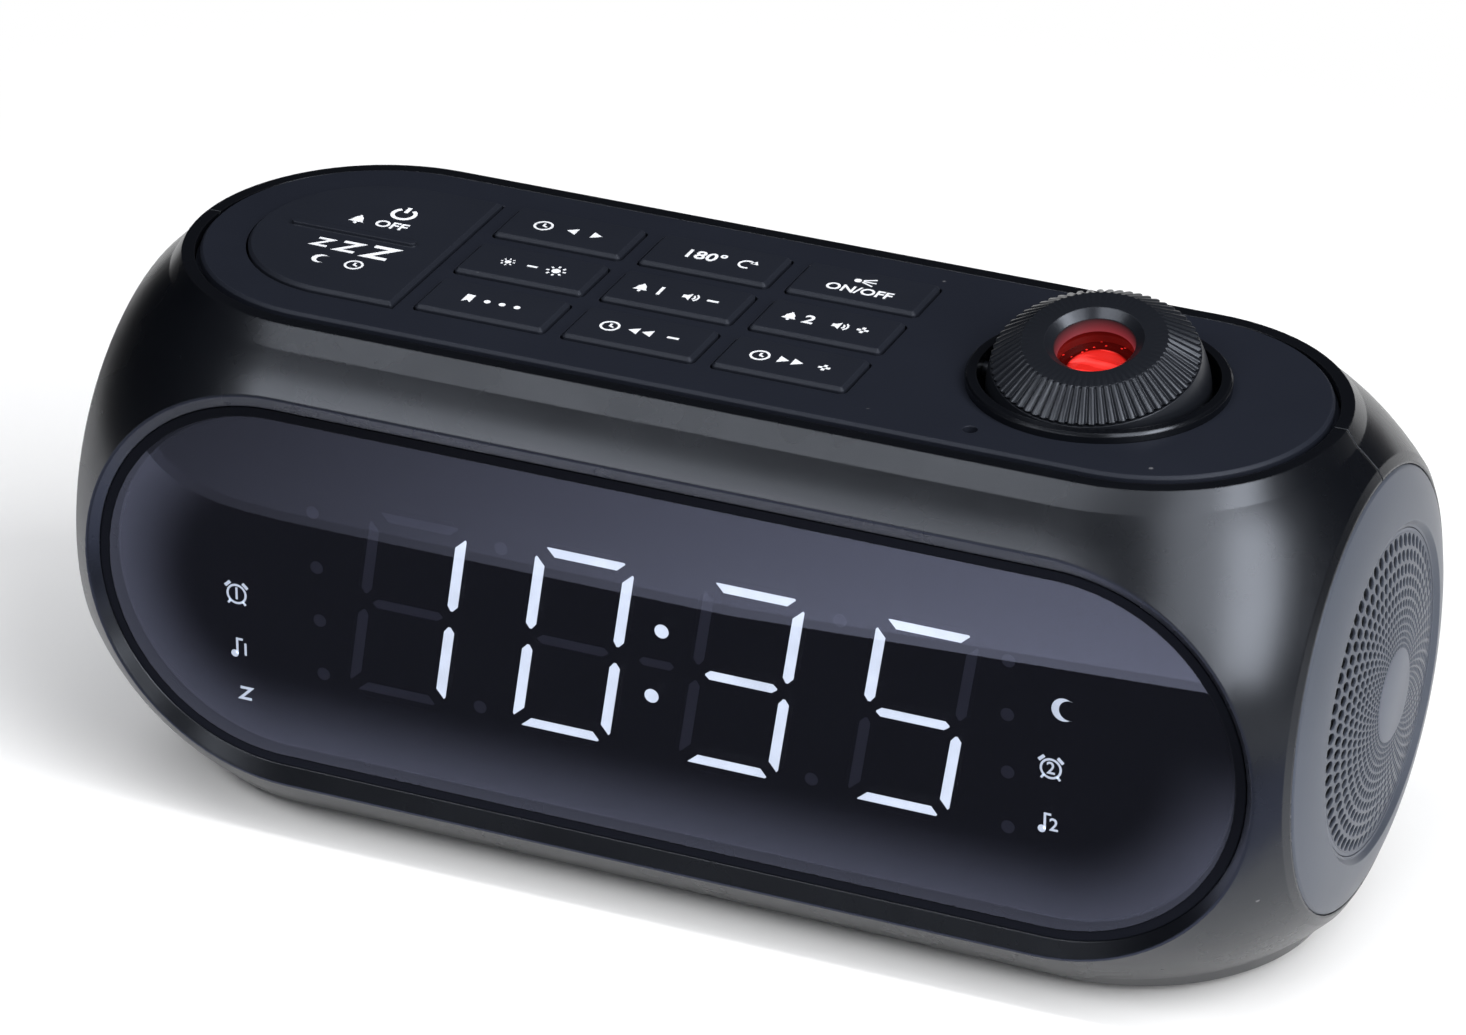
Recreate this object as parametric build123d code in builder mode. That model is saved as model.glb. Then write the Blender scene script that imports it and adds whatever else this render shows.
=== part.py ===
from build123d import *
from math import cos, sin, sqrt, radians
import os

os.makedirs("parts", exist_ok=True)

# Projection alarm clock. Millimetres, +Z up, front towards -Y.
# The origin lies on the table, under the middle of the housing.

# --- housing -------------------------------------------------------------------------------
# the housing is cut from a round-ended barrel
barrel_half_length = 49.5     # middle of the barrel to the centre of a rounded end
shoulder_height = 31.2        # the barrel ends here, above and below the middle
barrel_crown = 10.0           # how far its round back would rise over the shoulder
collar_rise = 2.0             # a bevelled collar leads from the shoulder to the rim of the top
base_rise = 2.4               # and a taller one to the flat underside
half_depth = 31.2             # middle of the housing to the lip of its front and its back
side_face = 79.6              # middle of the housing to the flat ring round a side panel
side_ring_radius = 27.7       # a cone leads from this ring to the round flank
side_cone_width = 2.3
side_cone_depth = 1.3
rim_half_straight = 51.0
collar_inset = 2.9            # how far the collar draws in the outline
rim_band = 1.8                # flat rim between the collar and the groove
wall = 2.2
ledge = 1.5                   # thickness of the ledges that the panels are seated on
parting_y = 1.0               # the front and rear shells meet on this plane
seam_width = 0.3              # groove that shows where the shells meet
seam_depth = 0.3
foot_radius = 4.5
foot_proud = 1.5
foot_sunk = 0.8
foot_x = 46.0
foot_y = 13.0

# --- clearances ----------------------------------------------------------------------------
fit_gap = 0.1                 # a piece dropped into its pocket
key_gap = 0.3                 # a key in its hole
running_gap = 0.05            # a pin in its bearing

# --- front window and display --------------------------------------------------------------
lens_margin = 2.34            # lip of the front to the rim of the lens
lens_side_margin = 4.63       # side face to the end of the lens
lens_thickness = 2.0
lens_recess = 1.2             # lens face behind the front lip
lip_width = 0.3
lens_overlap = 1.8            # lens over its ledge
reflector_depth = 7.8
reflector_draw = 3.5          # edge of the window to the body of the reflector and its board
reflector_flange = 1.5
segment_guide_depth = 2.0
digit_pitch = 22.07
first_digit_x = -33.3
digit_middle_z = 0.3
digit_slant = 0.15            # sideways lean for each millimetre of height
segment_width = 1.7
segment_side_x = 6.07         # digit middle to its upright segments
segment_bar_z = 12.55         # digit middle to its top and bottom bars
upright_z = 6.2
upright_length = 10.2
bar_length = 10.2
colon_radius = 1.0
colon_z = 4.55
board_thickness = 1.6
led_size = 1.2
led_height = 0.8

# --- top plate and keys --------------------------------------------------------------------
plate_half_straight = 51.2
plate_proud = 0.5             # plate over the rim
plate_thickness = 3.0
plate_bevel = 0.35
plate_overlap = 1.6           # plate over its ledge
groove_width = 0.7            # open groove round the plate
flange_height = 1.3
key_width = 17.1
key_depth = 8.5
key_corner = 0.6
key_pitch_x = 19.65
key_pitch_y = 11.09
key_first_x = -30.0           # middle of the first key in each row
key_first_y = -10.6
key_proud = 0.6
key_bevel = 0.4
key_travel = 0.6
key_flange = 0.8
key_flange_height = 1.0
key_stem_radius = 1.5
snooze_x = -51.2
snooze_radius = 15.6
snooze_edge_x = -41.2
snooze_skirt = 2.0            # depth of the snooze key under the plate
snooze_tilt = 2.0             # degrees each way
snooze_pin_radius = 0.7
snooze_pin_length = 1.0
snooze_bar_length = 17.0
snooze_bar_width = 1.2
snooze_bar_height = 0.5
snooze_stem_y = 10.0
lug_thickness = 1.1
lug_width = 4.0
lug_drop = 2.0
key_board_drop = 6.0          # underside of the top plate to the key board
key_board_left = -63.5
key_board_right = 25.0
key_board_half_depth = 19.3
post_radius = 1.2
post_y = 18.0
switch_size = 6.0
switch_height = 1.8
switch_button_radius = 1.6
switch_button_height = 0.6
peep_x = 35.0
peep_y = -17.4
peep_radius = 0.9

# --- projector -----------------------------------------------------------------------------
projector_x = 44.4
pivot_drop = 1.1              # pivot under the face of the top plate
head_tilt = 14.0              # degrees forward, as it stands
ball_radius = 13.45
ball_wall = 1.5
bezel_outer_radius = 15.9
bezel_inner_radius = 14.5
bezel_wall = 0.9
bezel_proud = 1.2
bezel_bevel = 0.3
socket_drop = 6.0             # pivot to the joint of sleeve and cup
socket_hole_radius = 3.0
pivot_pin_radius = 1.0
focus_rim_radius = 12.5
focus_rim_height = 0.3
focus_face_radius = 8.85
focus_mouth_radius = 5.95
focus_throat_radius = 4.8
focus_bevel = 1.0
focus_cone_height = 2.9
focus_ribs = 64
rib_depth = 0.35
tube_radius = 6.35            # bore of the ball that guides the lens barrel
tube_wall = 1.0
tube_rise = 1.6               # tube over the flat top of the ball
tube_drop = 4.0               # tube under the pivot
barrel_wall = 1.25
barrel_length = 7.4
lens_crown = 1.0
projector_lens_thickness = 2.0
focus_travel = 0.7
light_flange = 1.0
light_radius = 5.0
light_depth = 3.0

# --- side panels and speaker ---------------------------------------------------------------
panel_radius = 27.3
panel_seat_depth = 2.1        # panel seat behind the side face
panel_edge_rise = 0.2         # panel edge over the side face
panel_overlap = 1.9           # panel over its ledge
panel_bulge = 0.2
panel_bevel = 0.3
panel_lip_radius = 20.9
panel_lip_rise = 1.9          # panel lip over the side face
lip_slope = 0.6
grille_radius = 19.9
grille_rise = 1.3             # grille edge over the side face
grille_cap_radius = 5.2
grille_cap_rise = 3.3
grille_thickness = 1.2
grille_overlap = 1.2          # grille over its ledge
slot_rings = 7
slots_per_ring = 26
slot_first_radius = 7.3
slot_last_radius = 16.9
slot_width = 2.3
slot_web = 0.4                # web between the rings of slots
speaker_radius = 20.0
speaker_flange = 1.5
speaker_mouth_radius = 17.6
cone_radius = 17.3
cone_depth = 5.5
cone_thickness = 0.5
cone_surround = 1.0
voice_coil_radius = 6.0
basket_depth = 9.0
basket_wall = 1.0
magnet_radius = 13.0
magnet_depth = 7.0

# --- inside and back -----------------------------------------------------------------------
screw_x = 68.5
screw_drop = 6.7              # shoulder to the screws
boss_radius = 4.0
screw_radius = 1.4
screw_head_radius = 2.4
screw_head_height = 2.0
screw_length = 20.0
screw_seat_y = 14.0
board_post_height = 11.4
main_board_half_length = 54.0
main_board_gap = 2.5          # display board to the edge of the main board behind it
main_board_back = 24.0
board_post_radius = 2.6
board_post_x = 48.0
board_post_front = 6.0
board_post_back = 20.0
board_screw_length = 6.0
door_length = 30.0
door_depth = 25.0
door_middle_y = 13.5
door_thickness = 1.6
door_pin_radius = 0.45
door_pin_length = 0.8
bay_wall = 1.4
bay_margin = 1.0              # shelf of the bay round its opening
cell_radius = 10.0
cell_thickness = 3.2
cell_gap = 0.6                # door to cell
contact_thickness = 0.8
contact_radius = 6.0
# each chip: its middle, length, depth and height
chips = ((-12, 0, 14, 14, 1.6), (14, -2, 10, 7, 1.4), (30, 10, 9, 9, 6), (-32, 0, 8, 8, 10))
jack_x = -36.0
jack_size = 9.2
jack_length = 12.0
jack_nose_radius = 4.0
jack_bore_radius = 2.9
jack_bore_depth = 10.0
jack_pin_radius = 1.0

# --- heights and distances, counted from the middle of the housing -------------------------
body_radius = shoulder_height + barrel_crown
side_cone_radius = side_ring_radius + side_cone_width
rim_height = shoulder_height + collar_rise
base_depth = shoulder_height + base_rise
mid_z = foot_proud + base_depth
plate_top = rim_height + plate_proud
plate_bottom = plate_top - plate_thickness
room_top = plate_bottom - ledge
room_bottom = wall - base_depth
main_board_z = room_bottom + board_post_height
lens_face = lens_recess - half_depth
lens_back = lens_face + lens_thickness
room_front = lens_back + ledge
reflector_front = lens_back + fit_gap
reflector_back = reflector_front + reflector_depth
main_board_front = reflector_back + board_thickness + main_board_gap
room_back = half_depth - wall
panel_seat = side_face - panel_seat_depth
room_side = panel_seat - ledge
shoulder_radius = sqrt(body_radius**2 - shoulder_height**2)
rim_radius = shoulder_radius - collar_inset
screw_z = shoulder_height - screw_drop
plate_radius = rim_radius - rim_band - groove_width
pocket_radius = plate_radius + groove_width
lip_radius = sqrt(body_radius**2 - half_depth**2)
lens_radius = lip_radius - lens_margin
lens_half_straight = side_face - lens_side_margin - lens_radius
window_radius = lens_radius - lens_overlap
reflector_radius = window_radius - reflector_draw


# --- planes and outlines -------------------------------------------------------------------
def facing_up(z):
    """Level plane, its height counted from the middle of the housing."""
    return Plane(origin=(0, 0, mid_z + z))


def facing_front(y):
    """Upright plane across the clock, seen from the front."""
    return Plane(origin=(0, y, mid_z), x_dir=(1, 0, 0), z_dir=(0, -1, 0))


def facing_right(x):
    """Upright plane at a side, seen from the right."""
    return Plane(origin=(x, 0, mid_z), x_dir=(0, 1, 0), z_dir=(1, 0, 0))


def stadium(half_straight, radius):
    """Outline with straight long sides and round ends."""
    SlotCenterToCenter(2 * half_straight, 2 * radius)


def save(builder, name):
    builder.part.label = name
    export_step(builder.part, f"parts/{name}.step")


middle_axis = Axis((0, 0, mid_z), (1, 0, 0))
mirrored = (-1, 1)

# --- barrel that both shells are cut from --------------------------------------------------
def barrel_form(inset):
    """Round-ended barrel with its flat faces and collars, drawn in by the inset."""
    end_face = side_face - inset
    with BuildPart() as form:
        with Locations(Location((0, 0, mid_z), (0, 90, 0))):
            Cylinder(body_radius - inset, 2 * barrel_half_length)
        with Locations(*[(side * barrel_half_length, 0, mid_z) for side in mirrored]):
            Sphere(body_radius - inset)
        with Locations((0, 0, mid_z)):
            Box(2 * end_face, 2 * half_depth, 2 * shoulder_height, mode=Mode.INTERSECT)
        for side in mirrored:
            with BuildSketch(facing_front(0)):
                Polygon((side * end_face, side_ring_radius),
                        (side * (end_face - side_cone_depth), side_cone_radius),
                        (side * (end_face + side_cone_depth), side_cone_radius),
                        (side * (end_face + side_cone_depth), side_ring_radius), align=None)
            revolve(axis=middle_axis, mode=Mode.SUBTRACT)
        for shoulder, rim in ((shoulder_height, rim_height - inset),
                              (-shoulder_height, inset - base_depth)):
            with BuildSketch(facing_up(shoulder)):
                stadium(barrel_half_length, shoulder_radius - inset)
            with BuildSketch(facing_up(rim)):
                stadium(rim_half_straight, rim_radius - inset)
            loft(ruled=True)
    return form


barrel = barrel_form(0)
seam_core = barrel_form(seam_depth)

# --- room inside the housing, round the posts and the cell bay that stand in it ------------
screw_places = [(x, z) for x in (-screw_x, screw_x) for z in (-screw_z, screw_z)]
board_post_places = [(side * board_post_x, y) for side in mirrored
                     for y in (board_post_front, board_post_back)]
door_top = door_thickness - base_depth
bay_top = door_top + cell_gap + cell_thickness + contact_thickness
with BuildPart() as room:
    with Locations(Location((0, 0, mid_z), (0, 90, 0))):
        Cylinder(body_radius - wall, 2 * barrel_half_length)
    with Locations(*[(side * barrel_half_length, 0, mid_z) for side in mirrored]):
        Sphere(body_radius - wall)
    with Locations((0, (room_front + room_back) / 2, mid_z + (room_top + room_bottom) / 2)):
        Box(2 * room_side, room_back - room_front, room_top - room_bottom,
            mode=Mode.INTERSECT)
    with BuildSketch(facing_front(half_depth)):
        with Locations(*screw_places):
            Circle(boss_radius)
    extrude(amount=2 * half_depth, mode=Mode.SUBTRACT)
    with BuildSketch(facing_up(room_bottom)):
        with Locations(*board_post_places):
            Circle(board_post_radius)
    extrude(amount=main_board_z - room_bottom, mode=Mode.SUBTRACT)
    with BuildSketch(facing_up(room_bottom)):
        with Locations((0, door_middle_y)):
            Rectangle(door_length + 2 * bay_wall, door_depth + 2 * bay_wall)
    extrude(amount=bay_top + bay_wall - room_bottom, mode=Mode.SUBTRACT)

# --- pockets and openings of the lens, the top plate and the side panels -------------------
with BuildPart() as pockets:
    with BuildSketch(facing_front(-half_depth)):
        stadium(barrel_half_length, lip_radius - lip_width)
    with BuildSketch(facing_front(lens_face)):
        stadium(lens_half_straight, lens_radius + fit_gap)
    loft(ruled=True)
    with BuildSketch(facing_front(lens_back)):
        stadium(lens_half_straight, lens_radius + fit_gap)
    extrude(amount=lens_thickness)
    with BuildSketch(facing_front(room_front)):
        stadium(lens_half_straight, window_radius)
    extrude(amount=ledge)
    with BuildSketch(facing_up(plate_bottom)):
        stadium(plate_half_straight, pocket_radius)
    extrude(amount=plate_thickness)
    with BuildSketch(facing_up(room_top)):
        stadium(plate_half_straight, pocket_radius - plate_overlap)
    extrude(amount=ledge)
    for side in mirrored:
        with BuildSketch(facing_right(side * panel_seat)):
            Circle(panel_radius + fit_gap)
        extrude(amount=side * 2 * panel_seat_depth)
        with BuildSketch(facing_right(side * room_side)):
            Circle(panel_radius - panel_overlap)
        extrude(amount=side * ledge)

# --- front shell ---------------------------------------------------------------------------
with BuildPart() as front_shell:
    add(barrel.part)
    with Locations((0, parting_y, mid_z)):
        Box(4 * side_face, 2 * half_depth, 4 * base_depth, mode=Mode.INTERSECT,
            align=(Align.CENTER, Align.MAX, Align.CENTER))
    add(room.part, mode=Mode.SUBTRACT)
    add(pockets.part, mode=Mode.SUBTRACT)
    with BuildSketch(facing_front(parting_y)):
        with Locations(*screw_places):
            Circle(screw_radius + running_gap)
    extrude(amount=screw_length - screw_seat_y + 2 * parting_y, mode=Mode.SUBTRACT)
    with BuildSketch(facing_up(-base_depth)):
        with Locations(*[(side * foot_x, -foot_y) for side in mirrored]):
            Circle(foot_radius + fit_gap)
    extrude(amount=foot_sunk, mode=Mode.SUBTRACT)
save(front_shell, "front_shell")

# --- rear shell ----------------------------------------------------------------------------
jack_z = main_board_z + board_thickness + jack_size / 2
door_front_y = door_middle_y - door_depth / 2
door_pin_y = door_front_y + door_thickness / 2
door_pin_z = door_top - door_thickness / 2
with BuildPart() as seam_step:
    add(seam_core.part)
    with Locations((0, parting_y, mid_z)):
        Box(4 * side_face, seam_width, 4 * base_depth, mode=Mode.INTERSECT,
            align=(Align.CENTER, Align.MIN, Align.CENTER))

with BuildPart() as rear_shell:
    add(barrel.part)
    with Locations((0, parting_y + seam_width, mid_z)):
        Box(4 * side_face, 2 * half_depth, 4 * base_depth, mode=Mode.INTERSECT,
            align=(Align.CENTER, Align.MIN, Align.CENTER))
    add(seam_step.part)
    add(room.part, mode=Mode.SUBTRACT)
    add(pockets.part, mode=Mode.SUBTRACT)
    with BuildSketch(facing_front(half_depth)):
        with Locations(*screw_places):
            Circle(screw_radius + running_gap)
    extrude(amount=half_depth, mode=Mode.SUBTRACT)
    with BuildSketch(facing_front(half_depth)):
        with Locations(*screw_places):
            Circle(screw_head_radius + key_gap)
    extrude(amount=half_depth - screw_seat_y, mode=Mode.SUBTRACT)
    with BuildSketch(facing_up(-base_depth)):
        with Locations(*[(side * foot_x, foot_y) for side in mirrored]):
            Circle(foot_radius + fit_gap)
    extrude(amount=foot_sunk, mode=Mode.SUBTRACT)
    with BuildSketch(facing_up(main_board_z - board_screw_length)):
        with Locations(*board_post_places):
            Circle(screw_radius + running_gap)
    extrude(amount=board_screw_length, mode=Mode.SUBTRACT)
    with BuildSketch(facing_up(-base_depth)):
        with Locations((0, door_middle_y)):
            Rectangle(door_length + 2 * fit_gap, door_depth + 2 * fit_gap)
    extrude(amount=door_thickness, mode=Mode.SUBTRACT)
    with BuildSketch(facing_up(door_top)):
        with Locations((0, door_middle_y)):
            Rectangle(door_length - 2 * bay_margin, door_depth - 2 * bay_margin)
    extrude(amount=bay_top - door_top, mode=Mode.SUBTRACT)
    with BuildSketch(facing_right(-door_length / 2 - door_pin_length - fit_gap)):
        with Locations((door_pin_y, door_pin_z)):
            Circle(door_pin_radius + running_gap)
    extrude(amount=door_length + 2 * door_pin_length + 2 * fit_gap, mode=Mode.SUBTRACT)
    with BuildSketch(facing_front(half_depth)):
        with Locations((jack_x, jack_z)):
            Circle(jack_nose_radius + fit_gap)
    extrude(amount=wall, mode=Mode.SUBTRACT)
save(rear_shell, "rear_shell")

# --- feet and screws -----------------------------------------------------------------------
with BuildPart() as rubber_feet:
    with BuildSketch(facing_up(-mid_z)):
        with Locations(*[(i * foot_x, j * foot_y) for i in mirrored for j in mirrored]):
            Circle(foot_radius)
    extrude(amount=foot_proud + foot_sunk)
    chamfer(rubber_feet.faces().group_by(Axis.Z)[0].edges(), key_bevel)
save(rubber_feet, "rubber_feet")

with BuildPart() as housing_screws:
    with BuildSketch(facing_front(screw_seat_y)):
        with Locations(*screw_places):
            Circle(screw_radius)
    extrude(amount=screw_length)
    with BuildSketch(facing_front(screw_seat_y + screw_head_height)):
        with Locations(*screw_places):
            Circle(screw_head_radius)
    extrude(amount=screw_head_height)
save(housing_screws, "housing_screws")

# --- top plate -----------------------------------------------------------------------------
key_columns = [key_first_x + i * key_pitch_x for i in range(3)]
key_rows = [key_first_y + i * key_pitch_y for i in range(3)]
key_places = [(x, y) for y in key_rows for x in key_columns]
snooze_pivot_z = plate_bottom - snooze_skirt / 2
sleeve_radius = bezel_inner_radius + bezel_wall
lug_left_x = snooze_x - snooze_radius - key_gap
lug_right_x = snooze_edge_x + key_gap
key_board_top = plate_bottom - key_board_drop
switch_top = key_board_top + switch_height + switch_button_height
post_columns = (snooze_x, (key_columns[0] + key_columns[1]) / 2, key_columns[2] + key_width / 2)
post_places = [(x, side * post_y) for x in post_columns for side in mirrored]


def snooze_outline(growth):
    """Round on the left, straight on the right, wider all round by the growth."""
    with Locations((snooze_x, 0)):
        Circle(snooze_radius + growth)
    with Locations((snooze_edge_x + growth, 0)):
        Rectangle(2 * snooze_radius, 4 * snooze_radius, align=(Align.MIN, Align.CENTER),
                  mode=Mode.SUBTRACT)
    with Locations((snooze_x, 0)):
        Rectangle(snooze_edge_x + growth - snooze_x, 2 * (snooze_radius + growth),
                  align=(Align.MIN, Align.CENTER))


with BuildPart() as top_plate:
    with BuildSketch(facing_up(plate_bottom)):
        stadium(plate_half_straight, plate_radius)
    extrude(amount=plate_thickness)
    chamfer(top_plate.faces().sort_by(Axis.Z)[-1].edges(), plate_bevel)
    with BuildSketch(facing_up(plate_bottom)):
        stadium(plate_half_straight, pocket_radius - fit_gap)
    extrude(amount=flange_height)
    with BuildSketch(facing_up(plate_bottom)):
        with Locations(*key_places):
            RectangleRounded(key_width + 2 * key_gap, key_depth + 2 * key_gap,
                             key_corner + key_gap)
        with Locations((projector_x, 0)):
            Circle(sleeve_radius + fit_gap)
        with Locations((peep_x, peep_y)):
            Circle(peep_radius)
    extrude(amount=plate_thickness, mode=Mode.SUBTRACT)
    with BuildSketch(facing_up(plate_bottom)):
        snooze_outline(key_gap)
    extrude(amount=plate_thickness, mode=Mode.SUBTRACT)
    # lugs that carry the pins of the snooze key
    for lug_x in (lug_left_x - lug_thickness, lug_right_x):
        with BuildSketch(facing_right(lug_x)):
            with Locations((0, plate_bottom)):
                Rectangle(lug_width, lug_drop, align=(Align.CENTER, Align.MAX))
            with Locations((0, snooze_pivot_z)):
                Circle(snooze_pin_radius + running_gap, mode=Mode.SUBTRACT)
        extrude(amount=lug_thickness)
    # posts that carry the key board
    with BuildSketch(facing_up(key_board_top)):
        with Locations(*post_places):
            Circle(post_radius)
    extrude(amount=key_board_drop)
save(top_plate, "top_plate")

# --- keys ----------------------------------------------------------------------------------
key_top = plate_top + key_proud
key_flange_top = plate_bottom - fit_gap
key_flange_bottom = key_flange_top - key_flange_height
stem_bottom = switch_top + key_travel + running_gap


def push_key(x, y):
    """A key with its retaining flange under the plate and the stem over its switch."""
    with BuildPart() as key:
        with BuildSketch(facing_up(key_flange_top)):
            with Locations((x, y)):
                RectangleRounded(key_width, key_depth, key_corner)
        extrude(amount=key_top - key_flange_top)
        chamfer(key.faces().sort_by(Axis.Z)[-1].edges(), key_bevel)
        with BuildSketch(facing_up(key_flange_bottom)):
            with Locations((x, y)):
                Rectangle(key_width + 2 * key_flange, key_depth + 2 * key_flange)
        extrude(amount=key_flange_height)
        with BuildSketch(facing_up(stem_bottom)):
            with Locations((x, y)):
                Circle(key_stem_radius)
        extrude(amount=key_flange_bottom - stem_bottom)
    return key


for row_name, row_y in zip(("front", "middle", "rear"), key_rows):
    for number, column_x in enumerate(key_columns, start=1):
        save(push_key(column_x, row_y), f"key_{row_name}_{number}")

snooze_stem_bottom = switch_top + snooze_stem_y * sin(radians(snooze_tilt)) + running_gap
snooze_bottom = plate_bottom - snooze_skirt
with BuildPart() as snooze_key:
    with BuildSketch(facing_up(snooze_bottom)):
        snooze_outline(0)
    extrude(amount=key_top - snooze_bottom)
    chamfer(snooze_key.faces().sort_by(Axis.Z)[-1].edges(), key_bevel)
    with BuildSketch(facing_up(key_top)):
        with Locations(((snooze_x - snooze_radius + snooze_edge_x) / 2, 0)):
            SlotOverall(snooze_bar_length, snooze_bar_width)
    extrude(amount=snooze_bar_height)
    # pins at both ends of the rocking axis
    with BuildSketch(facing_right(lug_left_x - snooze_pin_length)):
        with Locations((0, snooze_pivot_z)):
            Circle(snooze_pin_radius)
    extrude(amount=lug_right_x - lug_left_x + 2 * snooze_pin_length)
    with BuildSketch(facing_up(snooze_stem_bottom)):
        with Locations(*[(snooze_x, side * snooze_stem_y) for side in mirrored]):
            Circle(key_stem_radius)
    extrude(amount=snooze_bottom - snooze_stem_bottom)
save(snooze_key, "snooze_key")

with BuildPart() as key_board:
    with BuildSketch(facing_up(key_board_top - board_thickness)):
        with Locations(((key_board_left + key_board_right) / 2, 0)):
            Rectangle(key_board_right - key_board_left, 2 * key_board_half_depth)
    extrude(amount=board_thickness)
save(key_board, "key_board")

switch_places = key_places + [(snooze_x, side * snooze_stem_y) for side in mirrored]
with BuildPart() as key_switches:
    with BuildSketch(facing_up(key_board_top)):
        with Locations(*switch_places):
            Rectangle(switch_size, switch_size)
    extrude(amount=switch_height)
    with BuildSketch(facing_up(key_board_top + switch_height)):
        with Locations(*switch_places):
            Circle(switch_button_radius)
    extrude(amount=switch_button_height)
save(key_switches, "key_switches")

# --- front lens and display ----------------------------------------------------------------
with BuildPart() as front_lens:
    with BuildSketch(facing_front(lens_back)):
        stadium(lens_half_straight, lens_radius)
    extrude(amount=lens_thickness)
save(front_lens, "front_lens")

# each segment: middle of its bar, and whether it stands upright
segments = {
    "a": (0, segment_bar_z, False),
    "b": (segment_side_x, upright_z, True),
    "c": (segment_side_x, -upright_z, True),
    "d": (0, -segment_bar_z, False),
    "e": (-segment_side_x, -upright_z, True),
    "f": (-segment_side_x, upright_z, True),
    "g": (0, 0, False),
}
shown_segments = ("bc", "abcdef", "abcdg", "acdfg")
digit_columns = [first_digit_x + i * digit_pitch for i in range(4)]
colon_x = (digit_columns[1] + digit_columns[2]) / 2


def lean(x, z):
    """Point of the slanted display, from its place on an upright one."""
    return (x + digit_slant * z, z + digit_middle_z)


def segment_bar(x, z, upright):
    """One bar of a digit, pointed at both ends, in a BuildSketch."""
    half = (upright_length if upright else bar_length) / 2
    tip = segment_width / 2
    bar = [(-half, 0), (tip - half, tip), (half - tip, tip),
           (half, 0), (half - tip, -tip), (tip - half, -tip)]
    corners = [(x + b, z + a) if upright else (x + a, z + b) for a, b in bar]
    Polygon(*[lean(*corner) for corner in corners], align=None)


def display_faces(glowing):
    """All glowing segments, or all dark ones, in a BuildSketch."""
    for column_x, shown in zip(digit_columns, shown_segments):
        for name, (x, z, upright) in segments.items():
            if (name in shown) == glowing:
                segment_bar(column_x + x, z, upright)
    if glowing:
        with Locations(*[lean(colon_x, side * colon_z) for side in mirrored]):
            Circle(colon_radius)


with BuildPart() as display_reflector:
    with BuildSketch(facing_front(reflector_back)):
        stadium(lens_half_straight, reflector_radius)
    extrude(amount=reflector_depth)
    with BuildSketch(facing_front(room_front)):
        stadium(lens_half_straight, window_radius - key_gap)
    extrude(amount=room_front - reflector_front)
    with BuildSketch(facing_front(room_front + reflector_flange)):
        stadium(lens_half_straight, window_radius + reflector_flange)
    extrude(amount=reflector_flange)
    for glowing in (True, False):
        with BuildSketch(facing_front(reflector_back)):
            display_faces(glowing)
        extrude(amount=reflector_depth, mode=Mode.SUBTRACT)
save(display_reflector, "display_reflector")

for glowing, guide_name in ((True, "lit_segments"), (False, "dark_segments")):
    with BuildPart() as segment_guides:
        with BuildSketch(facing_front(reflector_front + segment_guide_depth)):
            display_faces(glowing)
        extrude(amount=segment_guide_depth)
    save(segment_guides, guide_name)

with BuildPart() as display_board:
    with BuildSketch(facing_front(reflector_back + board_thickness)):
        stadium(lens_half_straight, reflector_radius)
    extrude(amount=board_thickness)
save(display_board, "display_board")

led_places = [lean(column_x + x, z) for column_x in digit_columns
              for x, z, upright in segments.values()]
with BuildPart() as display_leds:
    with BuildSketch(facing_front(reflector_back)):
        with Locations(*led_places):
            Rectangle(led_size, led_size)
    extrude(amount=led_height)
save(display_leds, "display_leds")

# --- projector socket ----------------------------------------------------------------------
pivot_z = plate_top - pivot_drop
socket_z = pivot_z - socket_drop
cup_outer_radius = bezel_inner_radius + bezel_wall
far = 4 * sleeve_radius
upright_profile = Plane((projector_x, 0, mid_z + pivot_z), x_dir=(1, 0, 0), z_dir=(0, -1, 0))
upright_axis = Axis((projector_x, 0, mid_z), (0, 0, 1))

with BuildPart() as projector_bezel:
    with BuildSketch(upright_profile):
        with BuildLine():
            Polyline(
                (bezel_inner_radius, -socket_drop),
                (bezel_inner_radius, pivot_drop + bezel_proud),
                (bezel_outer_radius - bezel_bevel, pivot_drop + bezel_proud),
                (bezel_outer_radius, pivot_drop + bezel_proud - bezel_bevel),
                (bezel_outer_radius, pivot_drop),
                (sleeve_radius, pivot_drop),
                (sleeve_radius, -socket_drop),
                close=True,
            )
        make_face()
    revolve(axis=upright_axis)
    with BuildSketch(facing_right(projector_x - bezel_outer_radius)):
        with Locations((0, pivot_z)):
            Circle(pivot_pin_radius + running_gap)
    extrude(amount=2 * bezel_outer_radius, mode=Mode.SUBTRACT)
save(projector_bezel, "projector_bezel")

with BuildPart() as projector_cup:
    with BuildSketch(upright_profile):
        Circle(cup_outer_radius)
        with Locations((0, -socket_drop)):
            Rectangle(2 * sleeve_radius, bezel_wall, align=(Align.CENTER, Align.MAX))
        Circle(bezel_inner_radius, mode=Mode.SUBTRACT)
        with Locations((0, -socket_drop)):
            Rectangle(far, far, align=(Align.CENTER, Align.MIN), mode=Mode.SUBTRACT)
        with Locations((socket_hole_radius, 0)):
            Rectangle(far, far, align=(Align.MAX, Align.CENTER), mode=Mode.SUBTRACT)
    revolve(axis=upright_axis)
save(projector_cup, "projector_cup")

# --- projector head, leaning forward on its pivot ------------------------------------------
tilt_sin = sin(radians(head_tilt))
tilt_cos = cos(radians(head_tilt))
pivot = Vector(projector_x, 0, mid_z + pivot_z)
head_direction = Vector(0, -tilt_sin, tilt_cos)
head_axis = Axis(pivot, head_direction)
head_profile = Plane(pivot, x_dir=(1, 0, 0), z_dir=(0, -tilt_cos, -tilt_sin))
head_base = Plane(pivot, x_dir=(1, 0, 0), z_dir=head_direction)
ball_top = sqrt(ball_radius**2 - focus_rim_radius**2)
tube_top = ball_top + tube_rise

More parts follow.
